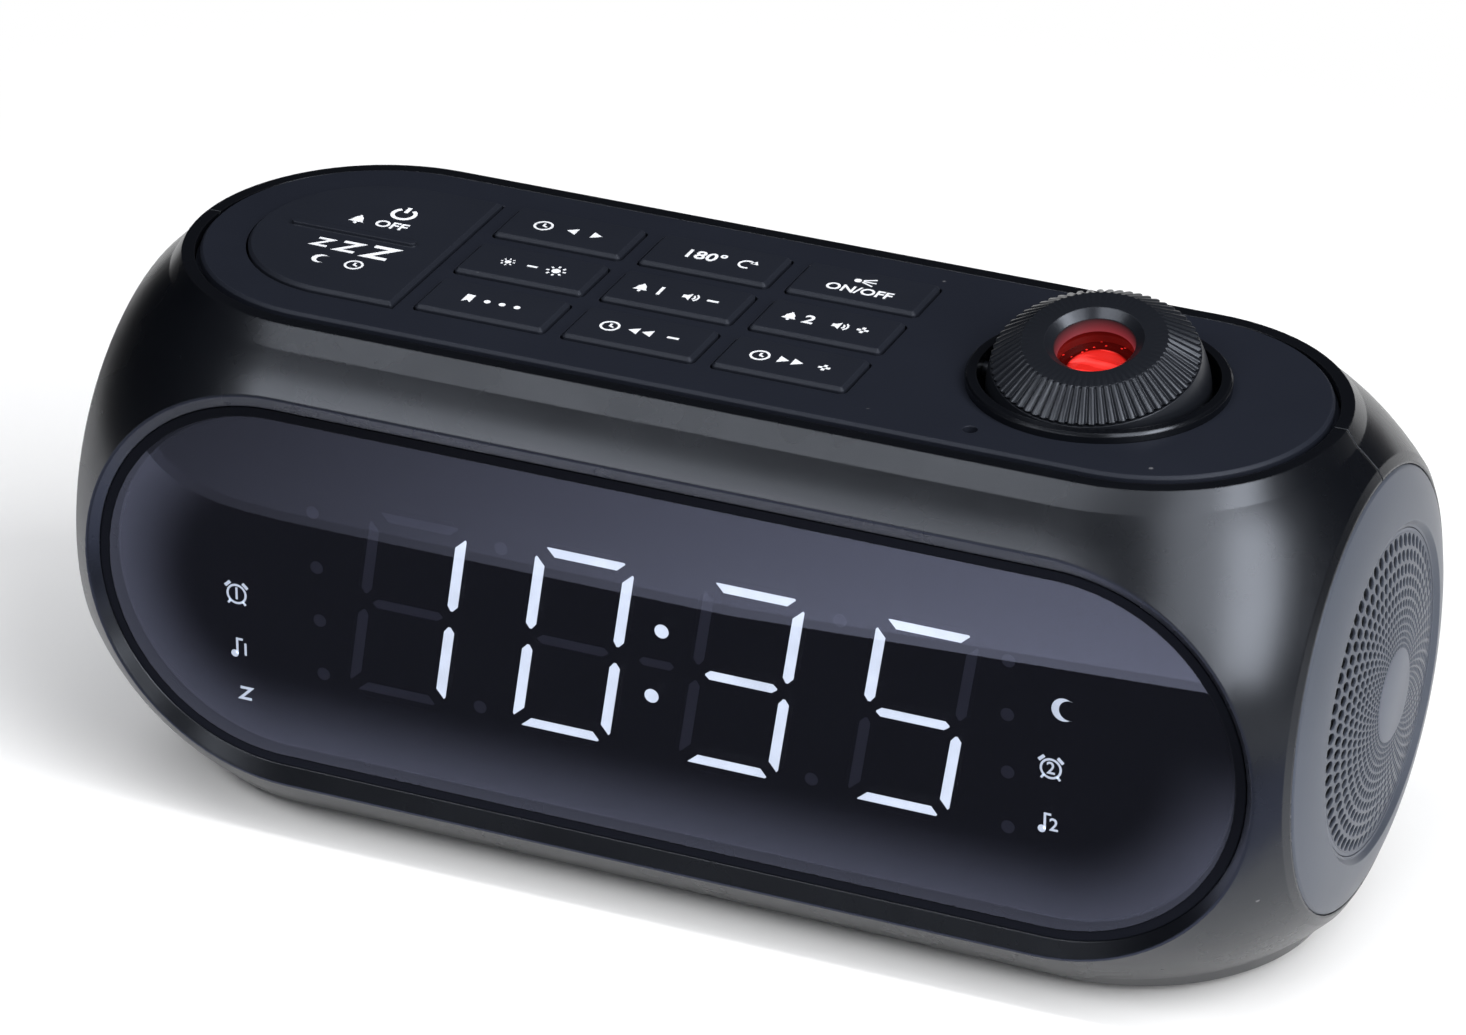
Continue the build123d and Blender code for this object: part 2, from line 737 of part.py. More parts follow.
with BuildPart() as projector_ball:
    with BuildSketch(head_profile):
        Circle(ball_radius)
        Circle(ball_radius - ball_wall, mode=Mode.SUBTRACT)
        with Locations((0, ball_top)):
            Rectangle(2 * focus_rim_radius, ball_wall, align=(Align.CENTER, Align.MAX))
            Rectangle(far, far, align=(Align.CENTER, Align.MIN), mode=Mode.SUBTRACT)
        with Locations((0, -tube_drop)):
            Rectangle(2 * (tube_radius + tube_wall), tube_drop + tube_top,
                      align=(Align.CENTER, Align.MIN))
            Rectangle(2 * tube_radius, tube_drop + tube_top,
                      align=(Align.CENTER, Align.MIN), mode=Mode.SUBTRACT)
        with Locations((socket_hole_radius, 0)):
            Rectangle(far, far, align=(Align.MAX, Align.CENTER), mode=Mode.SUBTRACT)
    revolve(axis=head_axis)
    # pivot pins
    for side in mirrored:
        with BuildSketch(facing_right(projector_x + side * (ball_radius - ball_wall / 2))):
            with Locations((0, pivot_z)):
                Circle(pivot_pin_radius)
        extrude(amount=side * (sleeve_radius - fit_gap - ball_radius + ball_wall / 2))
save(projector_ball, "projector_ball")

with BuildPart() as projector_light:
    with BuildSketch(head_base.offset(-tube_drop)):
        Circle(tube_radius + tube_wall)
    extrude(amount=-light_flange)
    with BuildSketch(head_base.offset(-tube_drop - light_flange)):
        Circle(light_radius)
    extrude(amount=-light_depth)
save(projector_light, "projector_light")

focus_bottom = ball_top + fit_gap
focus_edge = focus_bottom + focus_rim_height
focus_top = focus_bottom + focus_cone_height
cone_slope = (focus_rim_radius - focus_face_radius) / (focus_top - focus_edge)

# one V groove of the knurled cone, laid along its slope
with BuildPart() as rib_groove:
    for end_radius, end_height in ((focus_rim_radius + cone_slope, focus_edge - 1),
                                   (focus_face_radius - cone_slope, focus_top + 1)):
        with BuildSketch(Plane((end_radius, 0, end_height))):
            Polygon((-rib_depth, 0), (rib_depth, -rib_depth), (rib_depth, rib_depth),
                    align=None)
    loft(ruled=True)

with BuildPart(head_base) as focus_ring:
    with BuildSketch(head_profile):
        with BuildLine():
            Polyline(
                (tube_radius + tube_wall + fit_gap, focus_bottom),
                (focus_rim_radius, focus_bottom),
                (focus_rim_radius, focus_edge),
                (focus_face_radius, focus_top),
                (focus_mouth_radius, focus_top),
                (focus_throat_radius, focus_top - focus_bevel),
                (focus_throat_radius, tube_top + fit_gap),
                (tube_radius + tube_wall + fit_gap, tube_top + fit_gap),
                close=True,
            )
        make_face()
    revolve(axis=head_axis)
    with PolarLocations(0, focus_ribs):
        add(rib_groove.part, mode=Mode.SUBTRACT)
save(focus_ring, "focus_ring")

# --- focus barrel and projector lens -------------------------------------------------------
barrel_bottom = focus_travel + key_gap - tube_drop
barrel_top = barrel_bottom + barrel_length
barrel_bore = tube_radius - running_gap - barrel_wall
lens_seat = barrel_top - projector_lens_thickness
with BuildPart() as lens_barrel:
    with BuildSketch(head_base.offset(barrel_bottom)):
        Circle(tube_radius - running_gap)
        Circle(barrel_bore - barrel_wall / 2, mode=Mode.SUBTRACT)
    extrude(amount=lens_seat - barrel_bottom)
    with BuildSketch(head_base.offset(lens_seat)):
        Circle(tube_radius - running_gap)
        Circle(barrel_bore, mode=Mode.SUBTRACT)
    extrude(amount=projector_lens_thickness)
save(lens_barrel, "lens_barrel")

crown_radius = (barrel_bore**2 + lens_crown**2) / (2 * lens_crown)
with BuildPart() as projector_lens:
    with BuildSketch(head_profile):
        with BuildLine():
            Polyline((0, barrel_top), (0, lens_seat), (barrel_bore, lens_seat),
                     (barrel_bore, barrel_top - lens_crown))
            RadiusArc((0, barrel_top), (barrel_bore, barrel_top - lens_crown), crown_radius)
        make_face()
    revolve(axis=head_axis)
save(projector_lens, "projector_lens")

# --- side panels ---------------------------------------------------------------------------
panel_edge = side_face + panel_edge_rise
panel_lip = side_face + panel_lip_rise
grille_edge = side_face + grille_rise
grille_cap = side_face + grille_cap_rise
grille_seat = grille_edge - grille_thickness
bulge_x = (panel_edge + panel_lip) / 2 + panel_bulge
bulge_radius = (panel_radius + panel_lip_radius) / 2
dome_middle_radius = (grille_radius + grille_cap_radius) / 2
dome_radius = (grille_radius**2 - grille_cap_radius**2) / (2 * (grille_cap - grille_edge))
dome_middle = grille_edge + (grille_radius**2 - dome_middle_radius**2) / (2 * dome_radius)


def panel_front(side):
    """Outer contour of a side panel, from its edge over its lip, in a BuildLine."""
    Polyline(
        (side * panel_seat, panel_radius),
        (side * (panel_edge - panel_bevel), panel_radius),
        (side * panel_edge, panel_radius - panel_bevel),
    )
    ThreePointArc(
        (side * panel_edge, panel_radius - panel_bevel),
        (side * bulge_x, bulge_radius),
        (side * panel_lip, panel_lip_radius),
    )
    Line(
        (side * panel_lip, panel_lip_radius),
        (side * grille_edge, panel_lip_radius - lip_slope),
    )


with BuildPart() as side_panel_right:
    with BuildSketch(facing_front(0)):
        with BuildLine():
            panel_front(1)
            Polyline(
                (grille_edge, panel_lip_radius - lip_slope),
                (grille_edge, grille_radius + fit_gap),
                (grille_seat, grille_radius + fit_gap),
                (grille_seat, grille_radius - grille_overlap),
                (panel_seat, grille_radius - grille_overlap),
                (panel_seat, panel_radius),
            )
        make_face()
    revolve(axis=middle_axis)
save(side_panel_right, "side_panel_right")

with BuildPart() as side_panel_left:
    with BuildSketch(facing_front(0)):
        with BuildLine():
            panel_front(-1)
            Line((-grille_edge, panel_lip_radius - lip_slope), (-grille_edge, grille_radius))
            ThreePointArc(
                (-grille_edge, grille_radius),
                (-dome_middle, dome_middle_radius),
                (-grille_cap, grille_cap_radius),
            )
            Polyline(
                (-grille_cap, grille_cap_radius),
                (-grille_cap, 0),
                (-grille_seat, 0),
                (-grille_seat, grille_radius - grille_overlap),
                (-panel_seat, grille_radius - grille_overlap),
                (-panel_seat, panel_radius),
            )
        make_face()
    revolve(axis=middle_axis)
save(side_panel_left, "side_panel_left")

# --- speaker grille: a shallow dome with rings of slots that grow outwards -----------------
ring_pitch = (slot_last_radius - slot_first_radius) / (slot_rings - 1)
slot_reach = ring_pitch - slot_web
with BuildPart() as speaker_grille:
    with BuildSketch(facing_front(0)):
        with BuildLine():
            ThreePointArc(
                (grille_edge, grille_radius),
                (dome_middle, dome_middle_radius),
                (grille_cap, grille_cap_radius),
            )
            Polyline(
                (grille_cap, grille_cap_radius),
                (grille_cap, 0),
                (grille_cap - grille_thickness, 0),
                (grille_cap - grille_thickness, grille_cap_radius),
            )
            ThreePointArc(
                (grille_cap - grille_thickness, grille_cap_radius),
                (dome_middle - grille_thickness, dome_middle_radius),
                (grille_seat, grille_radius),
            )
            Line((grille_seat, grille_radius), (grille_edge, grille_radius))
        make_face()
    revolve(axis=middle_axis)
    with BuildSketch(facing_right(grille_seat)):
        for ring in range(slot_rings):
            ring_radius = slot_first_radius + ring * ring_pitch
            half_width = slot_width / 2 * ring_radius / slot_last_radius
            stagger = 180 / slots_per_ring * (ring % 2)
            with PolarLocations(ring_radius, slots_per_ring, start_angle=stagger):
                Polygon((-slot_reach, 0), (0, -half_width), (slot_reach, 0), (0, half_width),
                        align=None)
    extrude(amount=grille_cap - grille_seat, mode=Mode.SUBTRACT)
save(speaker_grille, "speaker_grille")

# --- speaker behind the right panel --------------------------------------------------------
flange_back = panel_seat - speaker_flange
basket_back = panel_seat - basket_depth
cone_seat = panel_seat - speaker_flange / 2
with BuildPart() as speaker_basket:
    with BuildSketch(facing_front(0)):
        with BuildLine():
            Polyline(
                (panel_seat, speaker_mouth_radius),
                (panel_seat, speaker_radius),
                (flange_back, speaker_radius),
                (flange_back, speaker_mouth_radius + basket_wall),
                (basket_back, magnet_radius),
                (basket_back, voice_coil_radius + basket_wall),
                (basket_back + basket_wall, voice_coil_radius + basket_wall),
                (basket_back + basket_wall, magnet_radius - basket_wall),
                (cone_seat, cone_radius - cone_surround),
                (cone_seat, speaker_mouth_radius),
                close=True,
            )
        make_face()
    revolve(axis=middle_axis)
save(speaker_basket, "speaker_basket")

cone_front = cone_seat + cone_thickness
cone_back = cone_front - cone_depth
with BuildPart() as speaker_cone:
    with BuildSketch(facing_front(0)):
        with BuildLine():
            Polyline(
                (cone_seat, cone_radius),
                (cone_front, cone_radius),
                (cone_front, cone_radius - 2 * cone_surround),
                (cone_back, voice_coil_radius),
                (cone_back, 0),
                (cone_back - cone_thickness, 0),
                (cone_back - cone_thickness, voice_coil_radius),
                (cone_seat, cone_radius - 2 * cone_surround),
                close=True,
            )
        make_face()
    revolve(axis=middle_axis)
save(speaker_cone, "speaker_cone")

with BuildPart() as speaker_magnet:
    with BuildSketch(facing_right(basket_back - magnet_depth)):
        Circle(magnet_radius)
    extrude(amount=magnet_depth)
save(speaker_magnet, "speaker_magnet")

# --- main board ----------------------------------------------------------------------------
board_top = main_board_z + board_thickness
with BuildPart() as main_board:
    with BuildSketch(facing_up(main_board_z)):
        with Locations((0, (main_board_front + main_board_back) / 2)):
            Rectangle(2 * main_board_half_length, main_board_back - main_board_front)
        with Locations(*board_post_places):
            Circle(screw_radius + fit_gap, mode=Mode.SUBTRACT)
    extrude(amount=board_thickness)
save(main_board, "main_board")

with BuildPart() as board_screws:
    with BuildSketch(facing_up(board_top - board_screw_length)):
        with Locations(*board_post_places):
            Circle(screw_radius)
    extrude(amount=board_screw_length)
    with BuildSketch(facing_up(board_top)):
        with Locations(*board_post_places):
            Circle(screw_head_radius)
    extrude(amount=screw_head_height)
save(board_screws, "board_screws")

with BuildPart() as main_chips:
    for chip_x, chip_y, chip_length, chip_depth, chip_height in chips:
        with BuildSketch(facing_up(board_top)):
            with Locations((chip_x, chip_y)):
                Rectangle(chip_length, chip_depth)
        extrude(amount=chip_height)
save(main_chips, "main_chips")

# --- power jack in the rear wall -----------------------------------------------------------
with BuildPart() as dc_jack:
    with BuildSketch(facing_front(room_back)):
        with Locations((jack_x, jack_z)):
            Rectangle(jack_size, jack_size)
    extrude(amount=jack_length)
    with BuildSketch(facing_front(half_depth - fit_gap)):
        with Locations((jack_x, jack_z)):
            Circle(jack_nose_radius)
    extrude(amount=wall - fit_gap)
    with BuildSketch(facing_front(half_depth)):
        with Locations((jack_x, jack_z)):
            Circle(jack_bore_radius)
            Circle(jack_pin_radius, mode=Mode.SUBTRACT)
    extrude(amount=jack_bore_depth, mode=Mode.SUBTRACT)
save(dc_jack, "dc_jack")

# --- backup cell and its door --------------------------------------------------------------
with BuildPart() as battery_door:
    with BuildSketch(facing_right(-door_length / 2)):
        with Locations((door_pin_y, door_pin_z)):
            Circle(door_thickness / 2)
            Rectangle(door_depth - door_thickness / 2, door_thickness,
                      align=(Align.MIN, Align.CENTER))
    extrude(amount=door_length)
    with BuildSketch(facing_right(-door_length / 2 - door_pin_length)):
        with Locations((door_pin_y, door_pin_z)):
            Circle(door_pin_radius)
    extrude(amount=door_length + 2 * door_pin_length)
save(battery_door, "battery_door")

with BuildPart() as battery_cell:
    with BuildSketch(facing_up(door_top + cell_gap)):
        with Locations((0, door_middle_y)):
            Circle(cell_radius)
    extrude(amount=cell_thickness)
save(battery_cell, "battery_cell")

with BuildPart() as battery_contact:
    with BuildSketch(facing_up(bay_top - contact_thickness)):
        with Locations((0, door_middle_y)):
            Circle(contact_radius)
    extrude(amount=contact_thickness)
save(battery_contact, "battery_contact")
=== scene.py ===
from functools import partial, reduce
from math import atan2, cos, pi, radians, sin

import bmesh
import bpy
from bpy.props import FloatProperty, FloatVectorProperty, IntProperty, PointerProperty
from mathutils import Matrix, Vector


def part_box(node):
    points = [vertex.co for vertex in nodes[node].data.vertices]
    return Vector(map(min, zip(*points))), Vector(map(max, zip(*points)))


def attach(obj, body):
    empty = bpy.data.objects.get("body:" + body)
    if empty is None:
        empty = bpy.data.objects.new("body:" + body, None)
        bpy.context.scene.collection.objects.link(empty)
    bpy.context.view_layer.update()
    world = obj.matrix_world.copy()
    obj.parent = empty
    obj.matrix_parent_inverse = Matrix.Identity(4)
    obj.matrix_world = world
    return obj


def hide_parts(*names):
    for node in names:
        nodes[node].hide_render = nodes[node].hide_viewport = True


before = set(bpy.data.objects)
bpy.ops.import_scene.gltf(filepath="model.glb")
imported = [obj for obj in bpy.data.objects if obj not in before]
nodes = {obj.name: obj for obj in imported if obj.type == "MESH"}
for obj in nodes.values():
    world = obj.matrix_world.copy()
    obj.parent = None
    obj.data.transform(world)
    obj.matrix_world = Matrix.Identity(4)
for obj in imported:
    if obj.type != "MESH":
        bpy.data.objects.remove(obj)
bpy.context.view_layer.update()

bl_info = {
    "name": "Projection Alarm Clock",
    "version": (1, 0, 0),
    "blender": (4, 5, 0),
    "location": "3D View > Sidebar > Alarm Clock",
    "description": "Dresses the packed alarm clock: finishes, key signs, display and stage",
    "category": "Object",
}

MM = 0.001
MID_Z = 35.1 * MM                       # middle of the housing over the table
KEY_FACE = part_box("key_front_1")[1].z
LENS_LOW, LENS_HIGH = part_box("front_lens")
LENS_FRONT = LENS_LOW.y
HEAD_LEAN = radians(14)                 # how far the projector head leans forward at rest
HEAD = Vector((44.4 * MM, 0, MID_Z + 32.6 * MM))          # pivot of the projector head
HEAD_UP = Vector((0, -sin(HEAD_LEAN), cos(HEAD_LEAN)))
HAIR = 0.02 * MM                        # least step or lap between two surfaces


# --- settings ---
def colour(name, description, value):
    return FloatVectorProperty(name=name, description=description, default=value, size=3,
                               subtype="COLOR", min=0, max=1)


def length(name, description, value):
    return FloatProperty(name=name, description=description, default=value, unit="LENGTH",
                         subtype="DISTANCE", min=0, precision=5)


class CLOCK_PG_colours(bpy.types.PropertyGroup):
    shell: colour("Housing", "Satin plastic of the housing", (0.0022, 0.0026, 0.0038))
    top: colour("Top Plate", "Matte plastic of the top plate", (0.0090, 0.0108, 0.0175))
    keys: colour("Keys", "Matte plastic of the keys", (0.0100, 0.0118, 0.0180))
    # the side-panel plastic also serves as painted shade on the perforated web of the grille
    panel: colour("Side Panels", "Plastic of the side panels", (0.050, 0.057, 0.074))
    grille: colour("Grille", "Plastic of the speaker grille", (0.072, 0.080, 0.102))
    head: colour("Projector", "Plastic of the projector head", (0.0075, 0.0086, 0.0115))
    signs: colour("Signs", "Print on the keys", (0.78, 0.80, 0.84))
    digits: colour("Digits", "Glow of the lit segments", (0.82, 0.91, 1.0))
    red: colour("Projector Lens", "Red of the projector lens", (0.75, 0.02, 0.015))


class CLOCK_PG_sizes(bpy.types.PropertyGroup):
    sign_thickness: length("Sign Thickness", "Thickness of the print", 0.03 * MM)
    grille_rings: IntProperty(name="Grille Rings", description="Rings of holes in the grille",
                              default=12, min=2, max=20)
    grille_around: IntProperty(name="Holes Around", description="Holes in each ring",
                               default=64, min=12, max=96)
    grille_inner: length("Inner Ring", "Radius where the holes start", 5.7 * MM)
    grille_outer: length("Outer Ring", "Radius where the holes end", 19.5 * MM)
    # width of the plain dull black ring drawn at the rim of the lens
    border: length("Lens Border", "Width of the black print at the rim of the lens", 1.3 * MM)
    grain: FloatProperty(name="Grain", description="Depth of the moulded grain", default=1.0,
                         min=0, max=3)


# --- node helpers ---
def feed(tree, node, *values, **named):
    """Sets a node up. Values go to its inputs in order, None leaves one as it is, capitalised
    names are other inputs, and the rest are the node's own settings. A value is a number, a
    vector, a colour or the output of another node."""
    inputs = dict(enumerate(values))
    for name, value in named.items():
        if name.islower():
            setattr(node, name, value)
        else:
            inputs[name.replace("_", " ")] = value
    for name, value in inputs.items():
        socket = node.inputs[name]
        if isinstance(value, bpy.types.NodeSocket):
            tree.links.new(value, socket)
        elif value is not None:
            socket.default_value = (*value, 1.0) if socket.type == "RGBA" else value
    return node


def add(tree, kind, *values, **named):
    """A new node, set up as feed says."""
    return feed(tree, tree.nodes.new(kind), *values, **named)


def maths(tree, operation, *values):
    """The result of a sum on numbers and outputs."""
    return add(tree, "ShaderNodeMath", *values, operation=operation).outputs[0]


def vector_maths(tree, operation, first, second):
    """The number that an operation makes of two vectors."""
    return add(tree, "ShaderNodeVectorMath", first, second, operation=operation).outputs["Value"]


def ramp(tree, value, start, stop, low=0.0, high=1.0, interpolation="LINEAR"):
    """A value carried over from start..stop to low..high, and held at the ends."""
    return add(tree, "ShaderNodeMapRange", value, start, stop, low, high,
               interpolation_type=interpolation).outputs[0]


def blend_colours(tree, factor, first, second):
    """From the first colour to the second as the factor goes from 0 to 1."""
    before = [None] * 5                     # inputs of the node's other kinds
    return add(tree, "ShaderNodeMix", factor, *before, first, second,
               data_type="RGBA").outputs[2]


def object_place(tree):
    """Place on the piece, in metres."""
    return add(tree, "ShaderNodeTexCoord").outputs["Object"]


def group(name, inputs, outputs, kind="ShaderNodeTree"):
    """A new node group: its tree, what it is given, and what it gives."""
    tree = bpy.data.node_groups.new(name, kind)
    for direction, sockets in (("INPUT", inputs), ("OUTPUT", outputs)):
        for socket_name, socket_kind, default in sockets:
            socket = tree.interface.new_socket(socket_name, in_out=direction,
                                               socket_type="NodeSocket" + socket_kind)
            if default is not None:
                socket.default_value = default
    return tree, tree.nodes.new("NodeGroupInput").outputs, tree.nodes.new("NodeGroupOutput")


def moulded_grain():
    """Height of a fine spark-eroded grain, and a slow mottle over it."""
    tree, given, end = group("Moulded Grain",
                             [("Vector", "Vector", None), ("Grains", "Float", 3000.0)],
                             [("Height", "Float", None), ("Mottle", "Float", None)])
    where, grains = given["Vector"], given["Grains"]
    fine = add(tree, "ShaderNodeTexNoise", where, Scale=grains, Detail=3.0, Roughness=0.6)
    cells = add(tree, "ShaderNodeTexVoronoi", where, Scale=grains, feature="SMOOTH_F1")
    slow = add(tree, "ShaderNodeTexNoise", where, Scale=55.0, Detail=4.0, Roughness=0.65)
    both = maths(tree, "ADD", fine.outputs["Fac"], cells.outputs["Distance"])
    feed(tree, end, maths(tree, "MULTIPLY", both, 0.5), slow.outputs["Fac"])
    return tree


def edge_wear():
    """Rounded normal at the edges, and a mask that is one on a worn edge."""
    tree, given, end = group("Edge Wear", [("Radius", "Float", 0.0003), ("Amount", "Float", 1.0)],
                             [("Normal", "Vector", None), ("Mask", "Float", None)])
    rounded = add(tree, "ShaderNodeBevel", given["Radius"], samples=6).outputs[0]
    flat = add(tree, "ShaderNodeNewGeometry").outputs["Normal"]
    unworn, worn = 0.998, 0.90              # cosines of the turn from one normal to the other
    turned = ramp(tree, vector_maths(tree, "DOT_PRODUCT", rounded, flat), unworn, worn)
    feed(tree, end, rounded, maths(tree, "MULTIPLY", turned, given["Amount"]))
    return tree


def dust():
    """Mask of small specks that lie in patches."""
    tree, given, end = group("Dust", [("Vector", "Vector", None), ("Cover", "Float", 0.05)],
                             [("Mask", "Float", None)])
    cells = add(tree, "ShaderNodeTexVoronoi", given["Vector"], Scale=260.0)
    patches = add(tree, "ShaderNodeTexNoise", given["Vector"], Scale=90.0)
    outside, inside, patch = 0.09, 0.05, 0.66
    speck = ramp(tree, cells.outputs["Distance"], outside, inside)
    some = maths(tree, "GREATER_THAN", patches.outputs["Fac"], patch)
    feed(tree, end, maths(tree, "MULTIPLY", maths(tree, "MULTIPLY", speck, some), given["Cover"]))
    return tree


GROUPS = {}


def effect(tree, builder, **inputs):
    """Outputs of a shared effect, whose group is built when it is first asked for."""
    if builder not in GROUPS:
        GROUPS[builder] = builder()
    return add(tree, "ShaderNodeGroup", node_tree=GROUPS[builder], **inputs).outputs


# --- finishes ---
COOL = (0.82, 0.88, 1.0)                # tint of the gloss on plastic
DUST = (0.25, 0.25, 0.26)
PALE_DUST = (0.6, 0.6, 0.6)
RESIN = (0.012, 0.012, 0.013)           # black resin, coated metal and paper
FINISHES = {}


def blank(name, **inputs):
    """A new material, with its tree and its shader."""
    material = bpy.data.materials.new(name)
    material.use_nodes = True
    tree = material.node_tree
    return material, tree, feed(tree, tree.nodes["Principled BSDF"], **inputs)


def plastic(name, base, rough, grains=3000.0, depth=0.00001, edge=0.00025, wear=0.35,
            specks=0.35, specular=0.5, mottle=0.12, metallic=0.0):
    """Moulded plastic or metal: grain, slow mottle, rounded and slightly polished edges, dust."""
    material, tree, shader = blank(name, Specular_IOR_Level=specular, Metallic=metallic,
                                   Specular_Tint=COOL)
    where = object_place(tree)
    grain = effect(tree, moulded_grain, Vector=where, Grains=grains)
    worn = effect(tree, edge_wear, Radius=edge, Amount=wear)
    dusty = effect(tree, dust, Vector=where, Cover=specks)
    shade = blend_colours(tree, grain["Mottle"], [c * (1 - mottle) for c in base],
                          [min(1, c * (1 + mottle)) for c in base])
    shade = blend_colours(tree, worn["Mask"], shade, [min(1, 1.6 * c + 0.01) for c in base])
    depth *= bpy.context.scene.clock_sizes.grain
    bump = add(tree, "ShaderNodeBump", Strength=0.6, Distance=depth, Height=grain["Height"],
               Normal=worn["Normal"])
    change = 0.05                           # how far the roughness goes up and down
    feed(tree, shader, Base_Color=blend_colours(tree, dusty["Mask"], shade, DUST),
         Roughness=ramp(tree, grain["Mottle"], 0.0, 1.0, rough - change, rough + change),
         Normal=bump.outputs[0])
    return material


def glow(name, base, strength, ends=0.7):
    """Glows a little unevenly: the lit display, and painted glow on unlit bars and lens barrel."""
    material, tree, shader = blank(name, Roughness=0.4, Emission_Strength=strength)
    patches = add(tree, "ShaderNodeTexNoise", object_place(tree), Scale=260.0, Detail=2.0)
    shade = blend_colours(tree, patches.outputs["Fac"], [c * ends for c in base], base)
    feed(tree, shader, Emission_Color=shade, Base_Color=shade)
    return material


def red_lens(name, base):
    """Lens that glows red over its slide, dark round that, with a few streaks and sparks."""
    material, tree, shader = blank(name, Roughness=0.08, Emission_Strength=0.85)
    where = object_place(tree)
    height, aside = 4.1 * MM, Vector((0.5, -1.1, 0)) * MM   # of the slide's middle
    reach = vector_maths(tree, "DISTANCE", where, HEAD + HEAD_UP * height + aside)
    outside, inside = 4.0 * MM, 3.6 * MM
    slide = ramp(tree, reach, outside, inside)
    stretch = add(tree, "ShaderNodeMapping", where, Scale=(60.0, 700.0, 60.0),
                  Rotation=(0.0, 0.0, radians(14)))
    streaks = add(tree, "ShaderNodeTexNoise", stretch.outputs[0], Scale=1.0, Detail=3.0,
                  Distortion=0.4)
    sparks = add(tree, "ShaderNodeTexVoronoi", where, Scale=900.0)
    bright = blend_colours(tree, ramp(tree, streaks.outputs["Fac"], 0.44, 0.56),
                           [0.5 * c for c in base], [min(1.0, 1.05 * c + 0.02) for c in base])
    dark = blend_colours(tree, ramp(tree, sparks.outputs["Distance"], 0.16, 0.10),
                         [0.045 * c for c in base], base)
    shade = blend_colours(tree, slide, dark, bright)
    feed(tree, shader, Emission_Color=shade, Base_Color=shade)
    return material


def lens_glow_painted(name, base):
    """Black wall with painted red light of the lens, stronger towards its lower end."""
    material, tree, shader = blank(name, Roughness=0.4, Emission_Strength=0.42,
                                   Base_Color=(0.02, 0.012, 0.014))
    height = vector_maths(tree, "DOT_PRODUCT", object_place(tree), HEAD_UP)
    pivot, black, red = HEAD.dot(HEAD_UP), 7.0 * MM, 5.3 * MM
    low = ramp(tree, height, pivot + black, pivot + red)
    feed(tree, shader, Emission_Color=blend_colours(tree, low, (0.010, 0.006, 0.009), base))
    return material


def smoked_glass(name, tint):
    """Clear gloss window, darkened through its depth."""
    material, tree, shader = blank(name, Transmission_Weight=1.0, IOR=1.49, Roughness=0.0)
    where = object_place(tree)
    grain = effect(tree, moulded_grain, Vector=where, Grains=40.0)
    dusty = effect(tree, dust, Vector=where, Cover=0.25)
    shade = blend_colours(tree, grain["Mottle"], [c * 0.97 for c in tint], tint)
    feed(tree, shader, Base_Color=blend_colours(tree, dusty["Mask"], shade, PALE_DUST))
    return material


def finish(name):
    """The material called so, made when it is first asked for."""
    if name not in FINISHES:
        c = bpy.context.scene.clock_colours
        matte = {"grains": 2200.0, "depth": 0.00002, "specular": 0.3}
        dull = {"specular": 0.1, "specks": 0.0}
        makers = {
            "shell": lambda: plastic("shell_satin", c.shell, 0.27, grains=2600.0, depth=0.000006),
            "top": lambda: plastic("top_matte", c.top, 0.52, **matte),
            "key": lambda: plastic("key_matte", c.keys, 0.5, **matte),
            "panel": lambda: plastic("panel_satin_and_grille_shade", c.panel, 0.38),
            "grille": lambda: plastic("grille_satin", c.grille, 0.42, edge=0.00012, wear=0.6),
            "head": lambda: plastic("head_satin", c.head, 0.30, edge=0.00015, wear=0.5),
            "bezel": lambda: plastic("bezel_gloss", c.shell, 0.2, edge=0.0003, depth=0.000004),
            "border": lambda: plastic("border_black", (0.001, 0.001, 0.001), 0.3, wear=0.0, **dull),
            "reflector": lambda: plastic("reflector_black", (0.004, 0.004, 0.005), 0.6, **dull),
            "speaker_metal": lambda: plastic("basket_coat", RESIN, 0.45),
            "paper": lambda: plastic("cone_paper", RESIN, 0.8, grains=900.0, depth=0.00008),
            "magnet": lambda: plastic("ferrite", (0.03, 0.03, 0.032), 0.7, grains=700.0),
            "board": lambda: plastic("green_laminate", (0.012, 0.09, 0.035), 0.4, grains=500.0,
                                     mottle=0.3),
            "component": lambda: plastic("black_resin", RESIN, 0.55),
            "led": lambda: plastic("led_lens", (0.75, 0.76, 0.70), 0.3),
            "steel": lambda: plastic("zinc_steel", (0.55, 0.56, 0.58), 0.3, metallic=1.0,
                                     grains=1500.0),
            "rubber": lambda: plastic("foot_rubber", (0.018, 0.018, 0.019), 0.75, grains=1200.0,
                                      depth=0.00004),
            "jack": lambda: plastic("jack_resin", (0.01, 0.01, 0.011), 0.4),
            "sign": lambda: plastic("white_print", c.signs, 0.5, wear=0.0, specks=0.0,
                                    edge=0.00001),
            "lit": lambda: glow("digit_glow", c.digits, 2.4),
            # faint emission on the unlit bars is painted glow, for light that cannot reach them
            # through the glass
            "unlit": lambda: glow("digit_dark_painted_glow", (0.040, 0.042, 0.060), 0.5),
            "guide": lambda: plastic("guide_grey", (0.006, 0.006, 0.008), 0.5, wear=0.0, **dull),
            "icon": lambda: glow("icon_glow", c.digits, 1.8),
            "lens": lambda: smoked_glass("lens_smoke", (0.42, 0.42, 0.46)),
            "red_glass": lambda: red_lens("red_glass", c.red),
            "lens_glow_painted": lambda: lens_glow_painted("red_lens_glow_painted", (0.55, 0.055, 0.075)),
            # painted red glow on the wall of the lens barrel, for the projector's light falling on
            # it
            "red_wall_painted_glow": lambda: glow("red_wall_painted_glow", [v * 0.16 for v in c.red], 0.9, ends=0.3),
        }
        FINISHES[name] = makers[name]()
    return FINISHES[name]


def dress(name, *node_names):
    """Puts a finish on CAD nodes as they are."""
    for node in node_names:
        mesh = nodes[node].data
        mesh.materials.clear()
        mesh.materials.append(finish(name))


